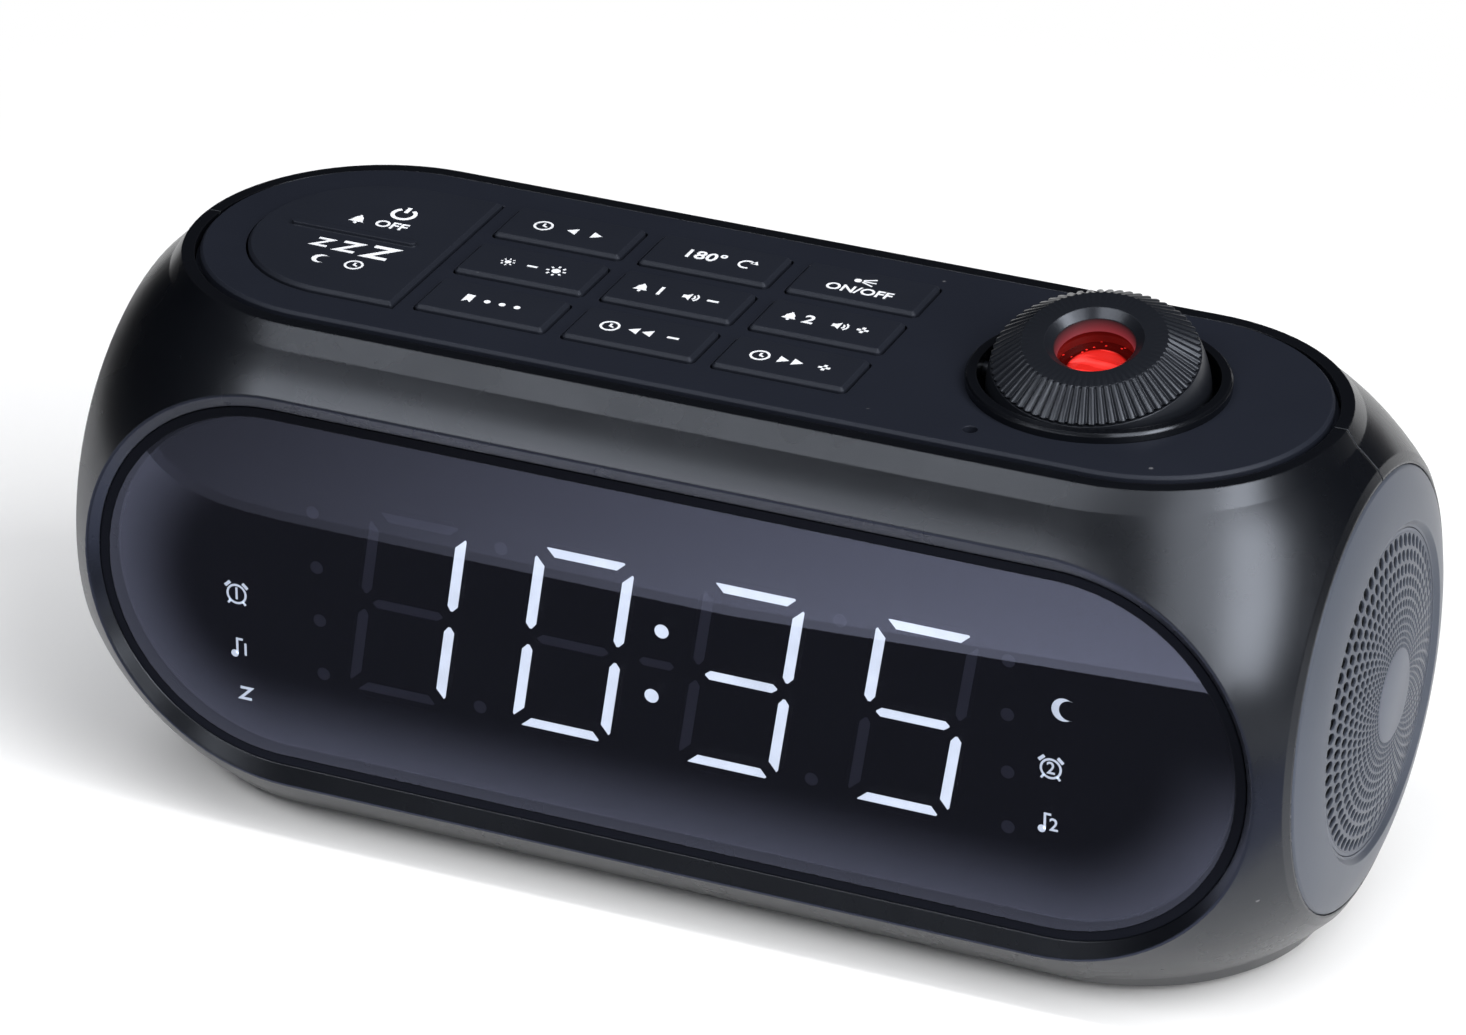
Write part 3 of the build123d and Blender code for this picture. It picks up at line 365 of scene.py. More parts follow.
# --- mesh helpers ---
def put(name, data):
    """A new object in the scene."""
    thing = bpy.data.objects.new(name, data)
    bpy.context.scene.collection.objects.link(thing)
    return thing


def mesh_of(name, bm):
    """A new mesh from a bmesh, which ends with it."""
    mesh = bpy.data.meshes.new(name)
    bm.to_mesh(mesh)
    bm.free()
    return mesh


def flat_mesh(name, corners, material):
    """One flat face through some corners."""
    mesh = bpy.data.meshes.new(name)
    mesh.from_pydata(corners, [], [range(len(corners))])
    mesh.materials.append(material)
    return mesh


def from_bmesh(name, bm, material, body, replaces=(), smooth=None):
    """A finished piece at the origin, riding on its body. Edges are shaded smooth where their
    faces turn by less than the angle called smooth, in degrees."""
    mesh = mesh_of(name, bm)
    mesh.materials.append(finish(material))
    piece = put(name, mesh)
    if smooth is not None:
        mesh.polygons.foreach_set("use_smooth", [True] * len(mesh.polygons))
        mesh.set_sharp_from_angle(angle=radians(smooth))
    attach(piece, body)
    if replaces:
        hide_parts(*replaces)


def turns(steps):
    """Angles of equal steps round a circle."""
    return [2 * pi * i / steps for i in range(steps)]


def wall(bm, one, two):
    """Faces between two loops of vertices. A pole is a loop that repeats one vertex."""
    for i in range(len(one)):
        j = (i + 1) % len(one)
        bm.faces.new(list(dict.fromkeys((one[i], one[j], two[j], two[i]))))


def skin(bm, loops, closed=True):
    """Walls from each loop to the next, and where it is closed from the last to the first."""
    for one, two in zip(loops, loops[1:] + (loops[:1] if closed else [])):
        wall(bm, one, two)
    bmesh.ops.recalc_face_normals(bm, faces=bm.faces)


def lathe(bm, profile, origin, axis, steps=128, closed=True):
    """Revolves a profile of (radius, height) pairs round an axis. A radius of 0 is a pole."""
    axis = Vector(axis).normalized()
    side = axis.orthogonal().normalized()
    other = axis.cross(side)
    loops = []
    for radius, height in profile:
        centre = Vector(origin) + axis * height
        if radius == 0:
            loops.append([bm.verts.new(centre)] * steps)
        else:
            loops.append([bm.verts.new(centre + radius * (cos(a) * side + sin(a) * other))
                          for a in turns(steps)])
    skin(bm, loops, closed)


def head_point(radius, height, angle):
    """Point round the axis of the projector head, from millimetres over its pivot."""
    side = Vector((1, 0, 0))
    other = HEAD_UP.cross(side)
    return HEAD + (radius * (cos(angle) * side + sin(angle) * other) + height * HEAD_UP) * MM


def prism(bm, outline, lift):
    """Thin closed prism over a flat outline. lift(x, y, h) gives the point in space."""
    base = [bm.verts.new(lift(x, y, 0)) for x, y in outline]
    top = [bm.verts.new(lift(x, y, 1)) for x, y in outline]
    bm.faces.new(base[::-1])
    bm.faces.new(top)
    wall(bm, base, top)


# --- signs: every shape is a flat outline in millimetres ---
def stroke(points, width):
    """Outline of a line with square ends."""
    points = [Vector(point) for point in points]
    ways = [(after - before).normalized() for before, after in zip(points, points[1:])]
    left, right = [], []
    for here, into, out in zip(points, ways[:1] + ways, ways + ways[-1:]):
        bend = (into + out).normalized()
        normal = Vector((-bend.y, bend.x))
        reach = width / 2 / max(0.4, normal.dot(Vector((-into.y, into.x))))
        left.append(here + normal * reach)
        right.append(here - normal * reach)
    return [(p.x, p.y) for p in right + left[::-1]]


def arc(x, y, radius, start, end, steps=14):
    """Points of an arc from one angle to another, in degrees."""
    return [(x + radius * cos(radians(start + (end - start) * i / steps)),
             y + radius * sin(radians(start + (end - start) * i / steps)))
            for i in range(steps + 1)]


def ring(x, y, radius, width):
    """Two half rings."""
    return [stroke(arc(x, y, radius, a, a + 180), width) for a in (0, 180)]


def disc(x, y, radius, steps=20):
    """Outline of a full circle."""
    return arc(x, y, radius, 0, 360 - 360 / steps, steps - 1)


MINUS = stroke([(-0.62, 0), (0.62, 0)], 0.36)
SIGNS = {
    "dot": [disc(0, 0, 1.0)],
    "minus": [MINUS],
    "plus": [MINUS, stroke([(0, -0.62), (0, 0.62)], 0.36)],
    "right": [[(-0.5, 0.75), (-0.5, -0.75), (0.7, 0)]],
    "left": [[(-0.7, 0), (0.5, -0.75), (0.5, 0.75)]],
    "clock": ring(0, 0, 0.9, 0.24) + [stroke([(0, 0.52), (0, 0), (0.42, -0.2)], 0.22)],
    "power": [stroke(arc(0, 0, 1.15, 125, 415, 20), 0.42), stroke([(0, 0.35), (0, 1.55)], 0.42)],
    "sun": [disc(0, 0, 0.46)] + [stroke([(r * cos(a), r * sin(a)) for r in (0.72, 1.05)], 0.22)
                                 for a in turns(8)],
    "moon": [arc(0, 0, 0.95, 60, 300, 18) + arc(0.45, 0, 0.82, 285, 75, 16)],
    "turn": [stroke(arc(0, 0, 0.8, 30, 300, 16), 0.26), [(0.28, 0.35), (1.18, 0.25), (0.82, 1.0)]],
    "beam": [disc(-1.1, 0, 0.42), stroke([(-0.5, 0.2), (0.9, 0.85)], 0.22),
             stroke([(-0.45, 0), (1.1, 0)], 0.22), stroke([(-0.5, -0.2), (0.9, -0.85)], 0.22)],
    "bell": [[(-0.85, -0.5), (0.85, -0.5), (0.6, -0.15), (0.52, 0.35), (0.25, 0.75),
              (-0.25, 0.75), (-0.52, 0.35), (-0.6, -0.15)],
             disc(0, -0.74, 0.2), disc(0, 0.88, 0.15)],
    "speaker": [[(-0.8, -0.3), (-0.4, -0.3), (0.05, -0.75), (0.05, 0.75), (-0.4, 0.3),
                 (-0.8, 0.3)]] + [stroke(arc(0, 0, r, -50, 50, 8), 0.2) for r in (0.5, 0.88)],
    "marker": [[(-0.5, 0.9), (-0.5, -0.9), (0, -0.4), (0.5, -0.9), (0.5, 0.9)]],
    "zigzag": [stroke([(-0.5, 0.5), (0.5, 0.5), (-0.5, -0.5), (0.5, -0.5)], 0.24)],
    "note": [disc(-0.95, -1.0, 0.5), stroke([(-0.58, -1.0), (-0.58, 1.1), (0.2, 1.1)], 0.3)],
    "alarm": ring(0, -0.1, 1.25, 0.28) + [
        stroke([(-1.55, 0.85), (-0.85, 1.5)], 0.42), stroke([(1.55, 0.85), (0.85, 1.5)], 0.42),
        stroke([(-0.85, -1.05), (-1.2, -1.5)], 0.3), stroke([(0.85, -1.05), (1.2, -1.5)], 0.3)],
}

# print of each key: its signs as (name, x, y, size), and its words as (text, x, y, size, bold)
KEY_PRINT = {
    "key_rear_1": ([("clock", -3.6, 0, 1.25), ("left", 0.4, 0, 1.1), ("right", 3.6, 0, 1.1)], []),
    "key_rear_2": ([("turn", 4.2, 0, 1.2)], [("180°", -1.4, 0, 3.0, 0.06)]),
    "key_rear_3": ([("beam", 0, 1.35, 1.1)], [("ON/OFF", 0, -1.3, 2.4, 0.05)]),
    "key_middle_1": ([("sun", -3.2, 0, 0.9), ("minus", 0.1, 0, 1.1), ("sun", 3.3, 0, 1.25)], []),
    "key_middle_2": ([("bell", -4.9, 0, 1.1), ("speaker", 1.6, 0, 1.2), ("minus", 4.6, 0, 1.2)],
                     [("1", -2.4, 0, 3.0, 0.06)]),
    "key_middle_3": ([("bell", -4.9, 0, 1.1), ("speaker", 1.6, 0, 1.2), ("plus", 4.6, 0, 1.2)],
                     [("2", -2.4, 0, 3.0, 0.06)]),
    "key_front_1": ([("marker", -3.2, 0, 1.1), ("dot", -0.7, 0, 0.42), ("dot", 1.3, 0, 0.42),
                     ("dot", 3.3, 0, 0.42)], []),
    "key_front_2": ([("clock", -4.0, 0, 1.25), ("left", -0.8, 0, 1.1), ("left", 1.0, 0, 1.1),
                     ("minus", 4.3, 0, 1.2)], []),
    "key_front_3": ([("clock", -4.0, 0, 1.25), ("right", -1.0, 0, 1.1), ("right", 0.8, 0, 1.1),
                     ("plus", 4.3, 0, 1.2)], []),
}
SNOOZE_MIDDLE = (-52.5 * MM, 0, KEY_FACE)
SNOOZE_PRINT = (
    [("power", 1.6, 7.6, 1.25), ("bell", -3.0, 4.0, 1.2), ("zigzag", -4.0, -3.6, 1.9),
     ("zigzag", -0.4, -3.6, 2.4), ("zigzag", 3.9, -3.6, 2.9), ("moon", -2.2, -7.9, 1.15),
     ("clock", 2.4, -7.9, 1.2)],
    [("OFF", 1.6, 4.0, 2.5, 0.05)])

# signs beside the digits: their print, and where in the window their middle is
ICON_LEFT, ICON_RIGHT = -56.4, 50.9
ICON_PRINT = {
    "icon_alarm_1": ([("alarm", 0, 0, 1)], [("1", 0, -0.1, 2.3, 0.03)], ICON_LEFT - 0.4, -2.5),
    "icon_music_1": ([("note", 0, 0, 1)], [("1", 0.55, -0.3, 2.4, 0.03)], ICON_LEFT, -10.0),
    "icon_rest": ([("zigzag", 0, 0, 1.5)], [], ICON_LEFT + 0.4, -16.4),
    "icon_moon": ([("moon", 0, 0, 1.6)], [], ICON_RIGHT + 0.9, 5.8),
    "icon_alarm_2": ([("alarm", 0, 0, 1)], [("2", 0, -0.1, 2.3, 0.03)], ICON_RIGHT - 0.5, -2.3),
    "icon_music_2": ([("note", 0, 0, 1)], [("2", 0.55, -0.3, 2.4, 0.03)], ICON_RIGHT - 0.5, -9.7),
}

# the bars that are lit in each digit, and for every bar its middle and how its outline is mirrored
DIGITS = ("bc", "abcdef", "abcdg", "acdfg")
DIGIT_BARS = {"a": (0, 12.15, 1, 1), "b": (5.8, 6.15, 1, 1), "c": (5.8, -6.15, 1, -1),
              "d": (0, -11.9, 1, -1), "e": (-5.8, -6.15, -1, -1), "f": (-5.8, 6.15, -1, 1),
              "g": (0, 0, 1, 1)}
FIRST_DIGIT, DIGIT_PITCH, DIGIT_LIFT = -33.3, 22.07, 0.3
SLANT = 0.15                            # how far the digits lean, for each millimetre of height
UNLIT_DOTS = ((-45.9, 11.0), (-45.6, 3.5), (-45.4, -3.8), (-45.1, -11.2), (44.8, 10.8),
              (44.8, 3.6), (45.0, -4.1), (45.2, -11.5), (-20.6, 11.5), (-23.8, -11.0),
              (23.5, 11.4), (20.0, -10.9))
UNLIT_DASH = [(-2.5, 0.3), (-2.0, 0.85), (1.6, 0.85), (2.1, 0.3), (1.6, -0.25), (-2.0, -0.25)]


def digit_shapes(lit):
    """Outlines of the lit or the unlit bars: mitred at the corners, pointed at the middle."""
    wide, slim, long = 0.68, 0.60, 4.65
    outlines = {
        "a": [(-5.15, 0.55), (-4.9, slim), (5.0, slim), (5.15, 0.4), (4.2, -slim), (-4.0, -slim)],
        "b": [(0.5, 5.15), (wide, 4.9), (wide, -4.3), (0.1, -5.0), (-0.2, -5.0), (-wide, -4.3),
              (-wide, 3.9)],
        "g": [(-long, 0.1), (slim - long, slim), (long - slim, slim), (long, 0.1), (long, -0.1),
              (long - slim, -slim), (slim - long, -slim), (-long, -0.1)],
    }
    shapes = []
    for column, shown in enumerate(DIGITS):
        x = FIRST_DIGIT + DIGIT_PITCH * column
        for bar, (bar_x, bar_z, side, rise) in DIGIT_BARS.items():
            if (bar in shown) == lit:
                outline = outlines[{"a": "a", "d": "a", "g": "g"}.get(bar, "b")]
                shapes.append([(x + bar_x + side * a + SLANT * (bar_z + rise * b),
                                DIGIT_LIFT + bar_z + rise * b) for a, b in outline])
    if lit:
        middle = FIRST_DIGIT + DIGIT_PITCH * 1.5
        return shapes + [disc(middle + SLANT * z, DIGIT_LIFT + z, 0.92, 32) for z in (4.55, -4.55)]
    return shapes + [disc(x, z, 0.85) for x, z in UNLIT_DOTS] + [UNLIT_DASH]


def letters(text, size, lift, bold):
    """Mesh of a plain number or short word, centred, with its thickness."""
    curve = bpy.data.curves.new("letters", "FONT")
    curve.body = text
    curve.size = size
    curve.align_x = curve.align_y = "CENTER"
    curve.offset = bold
    curve.resolution_u = 3
    curve.extrude = 0.5
    holder = put("letters", curve)
    bpy.context.view_layer.update()
    mesh = bpy.data.meshes.new_from_object(holder)
    bpy.data.objects.remove(holder)
    for vertex in mesh.vertices:
        x, y, h = vertex.co
        vertex.co = lift(x, y, h + 0.5)
    return mesh


def shapes_of(signs):
    """Outlines of signs that are given as (name, x, y, size)."""
    return [[(x + size * u, y + size * v) for u, v in shape]
            for name, x, y, size in signs for shape in SIGNS[name]]


def print_signs(name, shapes, words, origin, up, body, material, thickness):
    """Flat print of outlines and words on a surface, as one piece."""
    origin, right, up = Vector(origin), Vector((1, 0, 0)), Vector(up)
    out = right.cross(up)
    merge = 0.002 * MM

    def lift(x, y, h):
        return origin + (right * x + up * y) * MM + out * thickness * h

    bm = bmesh.new()
    for outline in shapes:
        prism(bm, outline, lift)
    for text, x, y, size, bold in words:
        bm.from_mesh(letters(text, size, lambda u, v, h: lift(u + x, v + y, h), bold))
    bmesh.ops.remove_doubles(bm, verts=bm.verts, dist=merge)
    bmesh.ops.dissolve_degenerate(bm, edges=bm.edges, dist=merge)
    bmesh.ops.recalc_face_normals(bm, faces=bm.faces)
    from_bmesh(name, bm, material, body)


# --- operators ---
class CLOCK_OT_housing(bpy.types.Operator):
    """Finishes the two shells, the battery door, the feet and the screws"""
    bl_idname = "clock.housing"
    bl_label = "Housing"

    def execute(self, context):
        dress("shell", "front_shell", "rear_shell", "battery_door")
        dress("rubber", "rubber_feet")
        dress("steel", "housing_screws")
        return {"FINISHED"}


class CLOCK_OT_inside(bpy.types.Operator):
    """Finishes the boards, the speaker, the cell and the power jack"""
    bl_idname = "clock.inside"
    bl_label = "Inner Pieces"

    def execute(self, context):
        dress("board", "key_board", "display_board", "main_board")
        dress("component", "key_switches", "main_chips")
        dress("led", "display_leds")
        dress("steel", "board_screws", "battery_cell", "battery_contact")
        dress("jack", "dc_jack")
        dress("speaker_metal", "speaker_basket")
        dress("paper", "speaker_cone")
        dress("magnet", "speaker_magnet")
        return {"FINISHED"}


class CLOCK_OT_keys(bpy.types.Operator):
    """Finishes the top plate and the keys, and prints the signs on the keys"""
    bl_idname = "clock.keys"
    bl_label = "Top Plate and Keys"

    def execute(self, context):
        thickness = context.scene.clock_sizes.sign_thickness
        dress("top", "top_plate")
        for key, (signs, words) in KEY_PRINT.items():
            dress("key", key)
            low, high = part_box(key)
            middle = ((low.x + high.x) / 2, (low.y + high.y) / 2, KEY_FACE)
            print_signs("sign_" + key, shapes_of(signs), words, middle, (0, 1, 0), key,
                        "sign", thickness)
        dress("key", "snooze_key")
        signs, words = SNOOZE_PRINT
        print_signs("sign_snooze", shapes_of(signs), words, SNOOZE_MIDDLE, (0, 1, 0), "snooze",
                    "sign", thickness)
        return {"FINISHED"}


class CLOCK_OT_display(bpy.types.Operator):
    """Finishes the window, the digits behind it and the signs beside them"""
    bl_idname = "clock.display"
    bl_label = "Display"

    def execute(self, context):
        dress("lens", "front_lens")
        dress("reflector", "display_reflector")
        dress("guide", "lit_segments", "dark_segments")
        self.border(context.scene.clock_sizes.border)
        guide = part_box("lit_segments")[0].y - HAIR
        thickness = 0.03 * MM
        # the unlit bars carry a faint painted glow
        for lit, name, slot, material in ((True, "digits_lit", "segment_lit", "lit"),
                                          (False, "digits_dark", "segment_dark", "unlit")):
            print_signs(name, digit_shapes(lit), [], (0, guide, MID_Z), (0, 0, 1), "housing",
                        material, thickness)
        for name, (signs, words, x, z) in ICON_PRINT.items():
            print_signs(name, shapes_of(signs), words, (x * MM, guide, MID_Z + z * MM), (0, 0, 1),
                        "housing", "icon", thickness)
        return {"FINISHED"}

    def border(self, width):
        """Thin black ring with little gloss round the rim of the window."""
        radius = (LENS_HIGH.z - LENS_LOW.z) / 2
        half = (LENS_HIGH.x - LENS_LOW.x) / 2 - radius
        steps = 48
        bm = bmesh.new()

        def outline(r, y):
            return [bm.verts.new((side * (half + r * cos(a)), y, MID_Z + side * r * sin(a)))
                    for side in (1, -1) for a in (-pi / 2 + pi * i / steps
                                                  for i in range(steps + 1))]

        front = LENS_FRONT - HAIR
        skin(bm, [outline(radius, LENS_FRONT), outline(radius, front),
                  outline(radius - width, front), outline(radius - width, LENS_FRONT)])
        from_bmesh("lens_border", bm, "border", "housing")


class CLOCK_OT_projector(bpy.types.Operator):
    """Finishes the projector head, its ribbed focus ring and its socket"""
    bl_idname = "clock.projector"
    bl_label = "Projector"

    def execute(self, context):
        dress("bezel", "projector_bezel")
        dress("head", "projector_cup", "projector_ball")
        # the barrel wall carries painted red glow
        dress("red_wall_painted_glow", "lens_barrel")
        dress("red_glass", "projector_lens", "projector_light")
        self.focus_ring()
        return {"FINISHED"}

    def focus_ring(self):
        """Cone with lands and grooves that notch its rim, and the wall of its throat."""
        ribs, depth = 64, 0.42
        # share of the depth across one rib: a slightly crowned land, then the groove
        section = (0.14, 0.03, 0.0, 0.03, 0.14, 0.65, 1.0, 0.65)
        # radius, height, and how much the groove cuts inwards and down
        profile = ((7.45, 5.065, 0, 0), (12.05, 5.065, 0, 0), (12.5, 5.16, 1, 0),
                   (12.5, 5.365, 0.9, 0.4), (8.95, 7.894, 0.5, 0.7), (8.7, 7.965, 0, 0),
                   (5.95, 7.965, 0, 0), (4.9, 7.052, 0, 0), (4.9, 6.665, 0, 0),
                   (7.45, 6.665, 0, 0))
        cuts = section * ribs
        bm = bmesh.new()
        skin(bm, [[bm.verts.new(head_point(radius - inward * depth * cut,
                                           height - down * depth * cut, angle))
                   for cut, angle in zip(cuts, turns(len(cuts)))]
                  for radius, height, inward, down in profile])
        from_bmesh("focus_ring_knurl", bm, "head", "focus_knob",
                   ["focus_ring"], smooth=25)
        throat = ((4.86, 7.02), (4.6, 5.35), (4.75, 5.3), (5.0, 6.9))
        bm = bmesh.new()
        lathe(bm, [(radius * MM, height * MM) for radius, height in throat], HEAD, HEAD_UP)
        # the throat wall carries painted red light of the lens, strongest next to the lens
        from_bmesh("focus_ring_throat", bm, "lens_glow_painted", "focus_knob", smooth=40)


def grille_tree():
    """One cell with a hole, repeated round and out on the dome of the grille."""
    tree, given, end = group("Grille Perforations", [
        ("Cell", "Object", None), ("Around", "Int", 64), ("Rings", "Int", 12),
        ("Inner Radius", "Float", 0.0057), ("Outer Radius", "Float", 0.0195),
        ("Edge X", "Float", 0.0809), ("Dome Radius", "Float", 0.09),
        ("Material", "Material", None)], [("Geometry", "Geometry", None)],
        "GeometryNodeTree")
    calc = partial(maths, tree)
    around, rings = given["Around"], given["Rings"]
    inner, outer = given["Inner Radius"], given["Outer Radius"]
    # a flat sheet of cells, one unit apart, with its middle at the origin
    grid = add(tree, "GeometryNodeMeshGrid", Vertices_X=around, Vertices_Y=rings,
               Size_X=calc("SUBTRACT", around, 1.0), Size_Y=calc("SUBTRACT", rings, 1.0))
    cell = add(tree, "GeometryNodeObjectInfo", Object=given["Cell"])
    scatter = add(tree, "GeometryNodeInstanceOnPoints", Points=grid.outputs["Mesh"],
                  Instance=cell.outputs["Geometry"])
    flat = add(tree, "GeometryNodeRealizeInstances", scatter.outputs[0])
    place = add(tree, "ShaderNodeSeparateXYZ", add(tree, "GeometryNodeInputPosition").outputs[0])
    # each ring grows by the same ratio, and is turned by half a cell from the one before
    row = calc("ADD", place.outputs[1], calc("DIVIDE", rings, 2.0))
    turn = calc("ADD", place.outputs[0], calc("MULTIPLY", row, 0.5))
    angle = calc("DIVIDE", calc("MULTIPLY", turn, 2 * pi), around)
    growth = calc("POWER", calc("DIVIDE", outer, inner), calc("DIVIDE", row, rings))
    radius = calc("MULTIPLY", inner, growth)
    rise = calc("DIVIDE", calc("SUBTRACT", calc("MULTIPLY", outer, outer),
                               calc("MULTIPLY", radius, radius)),
                calc("MULTIPLY", given["Dome Radius"], 2.0))
    point = add(tree, "ShaderNodeCombineXYZ", calc("ADD", given["Edge X"], rise),
                calc("MULTIPLY", radius, calc("COSINE", angle)),
                calc("ADD", calc("MULTIPLY", radius, calc("SINE", angle)), MID_Z))
    laid = add(tree, "GeometryNodeSetPosition", flat.outputs[0], Position=point.outputs[0])
    merged = add(tree, "GeometryNodeMergeByDistance", laid.outputs[0], Distance=0.004 * MM)
    paint = add(tree, "GeometryNodeSetMaterial", merged.outputs[0], Material=given["Material"])
    feed(tree, end, paint.outputs[0])
    return tree


class CLOCK_OT_grille(bpy.types.Operator):
    """Makes the perforated dome of the speaker grille and finishes the side panels"""
    bl_idname = "clock.grille"
    bl_label = "Side Panels and Grille"

    def execute(self, context):
        dress("panel", "side_panel_right", "side_panel_left")
        sizes = context.scene.clock_sizes
        inner, outer = sizes.grille_inner, sizes.grille_outer
        # x and radius of the dome's edge, and radius and x of its flat cap
        edge, rim, flat = 80.9 * MM, 19.9 * MM, 5.2 * MM
        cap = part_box("speaker_grille")[1].x
        dome = (rim ** 2 - flat ** 2) / (2 * (cap - edge))

        bm = bmesh.new()
        bm.from_mesh(self.sheet_of_holes(sizes, edge, dome))
        bmesh.ops.recalc_face_normals(bm, faces=bm.faces)
        if sum(face.normal.x for face in bm.faces) < 0:
            bmesh.ops.reverse_faces(bm, faces=bm.faces)
        bmesh.ops.solidify(bm, geom=bm.faces[:], thickness=0.4 * MM)
        # the perforated web takes the darker side-panel plastic instead of the grille's own:
        # painted shade between the holes; disc and rim keep the grille colour
        from_bmesh("speaker_grille_holes", bm, "panel", "housing",
                   ["speaker_grille"], smooth=30)

        # the plain disc in its middle, and the plain rim; foot is the dome's x at the first holes
        foot = edge + (outer ** 2 - inner ** 2) / (2 * dome)
        back = cap - 0.9 * MM
        disc_profile = [(0, cap), (inner - 0.25 * MM, cap), (inner, cap - 0.12 * MM),
                        (inner + 0.05 * MM, foot), (inner + 0.05 * MM, back), (0, back)]
        rim_profile = [(outer - HAIR, edge), (rim, edge - 0.05 * MM), (rim, edge - 1.1 * MM),
                       (outer - HAIR, edge - 1.1 * MM)]
        for name, profile, closed in (("speaker_grille_disc", disc_profile, False),
                                      ("speaker_grille_rim", rim_profile, True)):
            bm = bmesh.new()
            lathe(bm, profile, (0, 0, MID_Z), (1, 0, 0), closed=closed)
            from_bmesh(name, bm, "grille", "housing", smooth=30)
        return {"FINISHED"}

    def sheet_of_holes(self, sizes, edge, dome):
        """Mesh that the nodes make of one cell: a unit square with an oval hole."""
        corners = [(-0.5, -0.5), (-1 / 6, -0.5), (1 / 6, -0.5)]
        for _ in range(3):
            corners += [(-y, x) for x, y in corners[-3:]]
        wide, high, skew = 0.40, 0.42, 0.5
        hole = [(wide * cos(a) - skew * high * sin(a), high * sin(a))
                for a in (atan2(y, x) for x, y in corners)]
        cell = bmesh.new()
        rim, lip = ([cell.verts.new((x, y, 0)) for x, y in loop] for loop in (corners, hole))
        wall(cell, rim, lip)
        cell_object = put("grille_cell", mesh_of("grille_cell", cell))
        holder = put("speaker_grille_dome", bpy.data.meshes.new("speaker_grille_dome"))
        tree = grille_tree()
        modifier = holder.modifiers.new("Perforations", "NODES")
        modifier.node_group = tree
        values = {"Cell": cell_object, "Around": sizes.grille_around,
                  "Rings": sizes.grille_rings, "Inner Radius": sizes.grille_inner,
                  "Outer Radius": sizes.grille_outer, "Edge X": edge, "Dome Radius": dome,
                  "Material": finish("grille")}
        for item in tree.interface.items_tree:
            if item.item_type == "SOCKET" and item.in_out == "INPUT":
                modifier[item.identifier] = values[item.name]
        bpy.context.view_layer.update()
        graph = bpy.context.evaluated_depsgraph_get()
        mesh = bpy.data.meshes.new_from_object(holder.evaluated_get(graph))
        bpy.data.objects.remove(holder)
        bpy.data.objects.remove(cell_object)
        return mesh


# --- stage ---
# the camera: its place, and the ways to its right and to its back
EYE = Vector((0.28452, -0.65308, 0.41816))
EYE_RIGHT = Vector((0.9153, 0.4029, 0.0))
EYE_BACK = Vector((0.356, -0.809, 0.4676))
FOCAL_LENGTH = 161.37
SENSOR_WIDTH = 36.0

# each lamp: its way out from the clock, distance, width and height, power, and which way is up
LAMP_CENTRE = Vector((0, 0, 0.04))
LAMPS = {
    "key_softbox": ((-0.27, -0.635, 0.69), 1.3, (1.0, 0.25), 6.2, (0, 0, 1)),
    "strip_softbox": ((-0.06, -0.15, 0.92), 1.2, (1.45, 0.09), 3.8, (0, 1, 0)),
    "right_softbox": ((0.78, -0.27, 0.55), 1.2, (0.36, 1.15), 14.0, (-0.237, 0.670, 0.705)),
    "right_fill": ((0.54, -0.46, 0.70), 1.2, (0.42, 0.9), 4.4, (-0.237, 0.670, 0.705)),
    "top_softbox": ((0.30, 0.08, 0.96), 1.3, (0.6, 0.5), 1.7, (0, 1, 0)),
}


def rays(tree, *kinds):
    """One for light paths of these kinds, and nought for others."""
    path = add(tree, "ShaderNodeLightPath").outputs
    return reduce(partial(maths, tree, "MAXIMUM"), (path[f"Is {kind} Ray"] for kind in kinds))


def mix_shaders(tree, share, one, two):
    """From the first shader to the second as the share goes from 0 to 1."""
    return add(tree, "ShaderNodeMixShader", share, one.outputs[0], two.outputs[0])


def aim(thing, place, right, back):
    """Stands a lamp or the camera at a place, so that it looks away from back."""
    back = Vector(back).normalized()
    up = back.cross(right).normalized()
    turn = Matrix((up.cross(back), up, back)).transposed().to_4x4()
    thing.matrix_world = Matrix.Translation(place) @ turn


